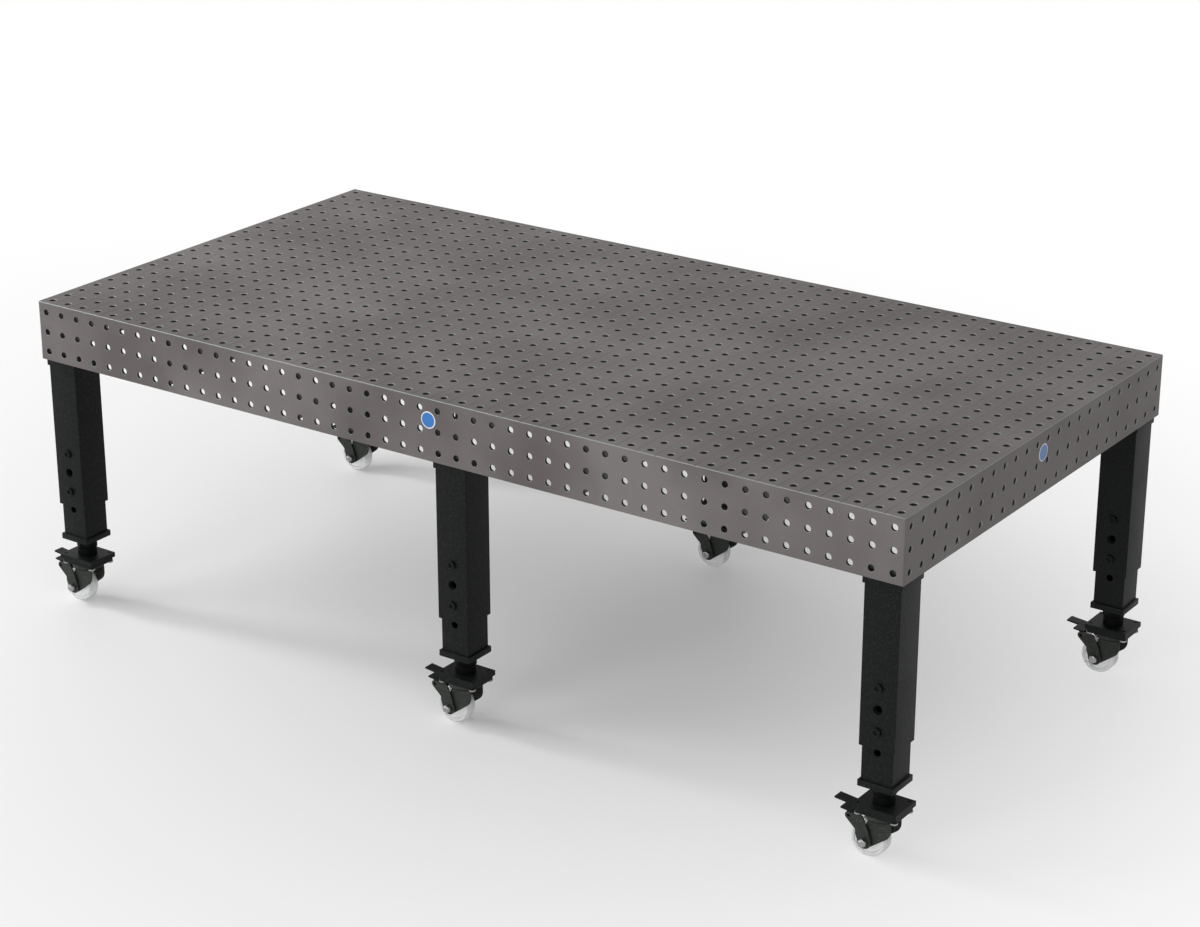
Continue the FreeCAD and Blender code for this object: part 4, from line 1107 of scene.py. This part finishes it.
# %% Copy the moving pieces to the legs
MOVING = [
    ("inner_leg", "tube", "leg", (COAT,), "black_coat"),
    ("levelling_stem", "plate", "leg", (COAT, SHADE_COAT), "black_coat"),
    ("caster_plate", "race", "leg", (COAT, FORK_COAT, SHADE_COAT), "black_coat"),
    ("plate_bolts", "heads", "leg", (ZINC,), "zinc"),
    ("caster_fork", "pressed", "fork", (FORK_COAT,), "black_coat"),
    ("axle_and_pin", "zinc", "fork", (ZINC,), "zinc"),
    ("wheel", "cast", "wheel", (NYLON,), "nylon"),
    ("brake_pedal", "pressed", "pedal", (COAT,), "black_coat"),
]
for node, word, body, finishes, slot in MOVING:
    for leg, place in LEG_PLACES.items():
        copy = moved(PATTERNS[node].copy(), *place)
        show(copy, f"{leg}_{node}_{word}", f"{leg}_{body}", finishes, slot, f"{leg}_{node}")
    PATTERNS[node].free()
print(len(MOVING), "pieces at each of", len(LEG_PLACES), "legs")

# %% [markdown]
# ## Badges
# Two plain round badges sit on the aprons between the upper rows of holes. Disc and rim are two
# turned shapes, so that each keeps a finish of its own.

# %% Badges
BADGE_LEVEL = 750
DISC_PROFILE = [(0, 0.7), (17.5, 0.7), (17.5, 0), (0, 0)]
RIM_PROFILE = [(17.4, 0), (17.4, 0.8), (17.8, 1), (19.4, 1), (20, 0.5), (20, 0), (17.4, 0)]
BADGE_SPOTS = {
    "front": ((0, -TABLE_WIDTH / 2, BADGE_LEVEL), UP_TO_FRONT),
    "right": ((TABLE_LENGTH / 2, 0, BADGE_LEVEL), UP_TO_RIGHT),
}
for side, (spot, turn) in BADGE_SPOTS.items():
    disc = moved(turned(DISC_PROFILE), *spot, turn)
    rim = moved(turned(RIM_PROFILE), *spot, turn)
    show(disc, side + "_badge_face", "table", (BLUE,), "badge", "badges")
    show(rim, side + "_badge_rim", "table", (PALE,), "badge", "badges")
print(len(BADGE_SPOTS), "badges")

# %% [markdown]
# ## CAD nodes that stay
# The cross ribs and the bolts on the leg seats are right as they are in the CAD model and only
# take their finish.

# %% Finishes for CAD nodes
for node, material in (("cross_ribs", STEEL), ("seat_bolts", ZINC)):
    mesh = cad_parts[node].data
    mesh.materials.clear()
    mesh.materials.append(material)
    print(node, "takes", material.name)

# %% [markdown]
# ## Floor
# The table stands on a pale floor that fades to white in the distance, as in a studio. The floor
# is painted pale and takes the table's shadow. What the camera sees of it is mixed with plain
# white light, only a little under the table and wholly far away. The Light Path node keeps that
# white for what is looked at, directly, in a reflection or through the wheels, so that it adds no
# light to the table.

# %% Floor
FLOOR_RADIUS_M = 30
SHADE_CENTRE_M = (-0.85, -0.25, 0)
SHADE_NEAR_M, SHADE_FAR_M = 0.75, 3.4
WHITE_NEAR, WHITE_FAR = 0.14, 1.0


def floor_paint():
    material, tree, shader = finish_named("pale_floor")
    shader.inputs["Base Color"].default_value = linear("#efefef")
    shader.inputs["Roughness"].default_value = 0.6
    place = add(tree, "ShaderNodeTexCoord").outputs["Object"]
    away = add(tree, "ShaderNodeVectorMath", {0: place, 1: SHADE_CENTRE_M}, operation="DISTANCE")
    fade = add(tree, "ShaderNodeMapRange", interpolation_type="SMOOTHSTEP",
               inputs={"Value": away.outputs["Value"], "From Min": SHADE_NEAR_M,
                       "From Max": SHADE_FAR_M, "To Min": WHITE_NEAR, "To Max": WHITE_FAR})
    path = add(tree, "ShaderNodeLightPath").outputs
    shown = add(tree, "ShaderNodeMath", operation="MAXIMUM",
                inputs={0: path["Is Camera Ray"], 1: path["Is Glossy Ray"]})
    seen = add(tree, "ShaderNodeMath", operation="MAXIMUM",
               inputs={0: shown.outputs["Value"], 1: path["Is Transmission Ray"]})
    share = add(tree, "ShaderNodeMath", operation="MULTIPLY",
                inputs={0: fade.outputs["Result"], 1: seen.outputs["Value"]})
    glow = add(tree, "ShaderNodeEmission", {"Color": linear("#ffffff"), "Strength": 1.0})
    mixed = add(tree, "ShaderNodeMixShader", {0: share.outputs["Value"],
                                              1: shader.outputs["BSDF"],
                                              2: glow.outputs["Emission"]})
    tree.links.new(mixed.outputs["Shader"], tree.nodes["Material Output"].inputs["Surface"])
    return material


bm = bmesh.new()
bmesh.ops.create_circle(bm, cap_ends=True, segments=64, radius=FLOOR_RADIUS_M)
mesh = bpy.data.meshes.new("floor")
bm.to_mesh(mesh)
bm.free()
mesh.materials.append(floor_paint())
piece = bpy.data.objects.new("floor", mesh)
bpy.context.scene.collection.objects.link(piece)
piece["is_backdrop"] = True
print("floor of", 2 * FLOOR_RADIUS_M, "m across")

# %% [markdown]
# ## Sky
# A pale sky fills the shadows. It is brightest low at the front left and dimmest behind and above,
# which a dot product with one direction gives, so that the top doesn't look washed out and the
# legs keep a darker side. To the eye and in reflections the sky is plain white, like a studio
# backdrop.

# %% Sky
BRIGHT_SIDE = (-0.5, -0.75, -0.43)
SKY_DIMMEST, SKY_BRIGHTEST = 0.22, 1.1

world = bpy.data.worlds.new("studio")
bpy.context.scene.world = world
world.use_nodes = True
sky = world.node_tree
sky.nodes.clear()
path = add(sky, "ShaderNodeLightPath").outputs
shown = add(sky, "ShaderNodeMath", operation="MAXIMUM",
            inputs={0: path["Is Camera Ray"], 1: path["Is Glossy Ray"]})
seen = add(sky, "ShaderNodeMath", operation="MAXIMUM",
           inputs={0: shown.outputs["Value"], 1: path["Is Transmission Ray"]})
toward = add(sky, "ShaderNodeTexCoord").outputs["Generated"]
lean = add(sky, "ShaderNodeVectorMath", {0: toward, 1: BRIGHT_SIDE}, operation="DOT_PRODUCT")
level = add(sky, "ShaderNodeMapRange", {"Value": lean.outputs["Value"], "From Min": -1.0,
                                        "To Min": SKY_DIMMEST, "To Max": SKY_BRIGHTEST})
fill = add(sky, "ShaderNodeBackground", {"Color": linear("#ffffff"),
                                         "Strength": level.outputs["Result"]})
white = add(sky, "ShaderNodeBackground", {"Color": linear("#ffffff"), "Strength": 1.0})
both = add(sky, "ShaderNodeMixShader", {0: seen.outputs["Value"], 1: fill.outputs["Background"],
                                        2: white.outputs["Background"]})
add(sky, "ShaderNodeOutputWorld", {"Surface": both.outputs["Shader"]})
print("sky between", SKY_DIMMEST, "and", SKY_BRIGHTEST)

# %% [markdown]
# ## Lamps
# Three round lamps do the rest. A broad one at the upper left gives the soft light on the top, a
# smaller one further left the long faint shadows to the right, and one at the front lights the
# long apron and the front of the legs. They are weak enough that the colours come out about as
# they are written.

# %% Lamps
AIM = Vector((0, 0, 0.4))
# Place in metres, width in metres and power in watts.
LAMPS = {
    "upper_left_lamp": ((-4.2, -2.8, 4.8), 4.5, 125),
    "left_lamp": ((-5.6, -1.4, 3.2), 1.0, 95),
    "front_lamp": ((-0.4, -7.0, 2.2), 3.0, 95),
}
for name, (place, width, watts) in LAMPS.items():
    light = bpy.data.lights.new(name, "AREA")
    light.shape = "DISK"
    light.size = width
    light.energy = watts
    lamp = bpy.data.objects.new(name, light)
    lamp.location = place
    lamp.rotation_euler = (AIM - lamp.location).to_track_quat("-Z", "Y").to_euler()
    bpy.context.scene.collection.objects.link(lamp)
bpy.context.scene.view_settings.view_transform = "Standard"
print("lit by", len(LAMPS), "lamps and a pale sky")

# %% [markdown]
# ## Size
# The dressed model is meant to stay in the box of the CAD model; its own box is printed.

# %% Sizes and finish
low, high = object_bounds()
print("visual box in metres:", [round(v, 3) for v in low], [round(v, 3) for v in high])
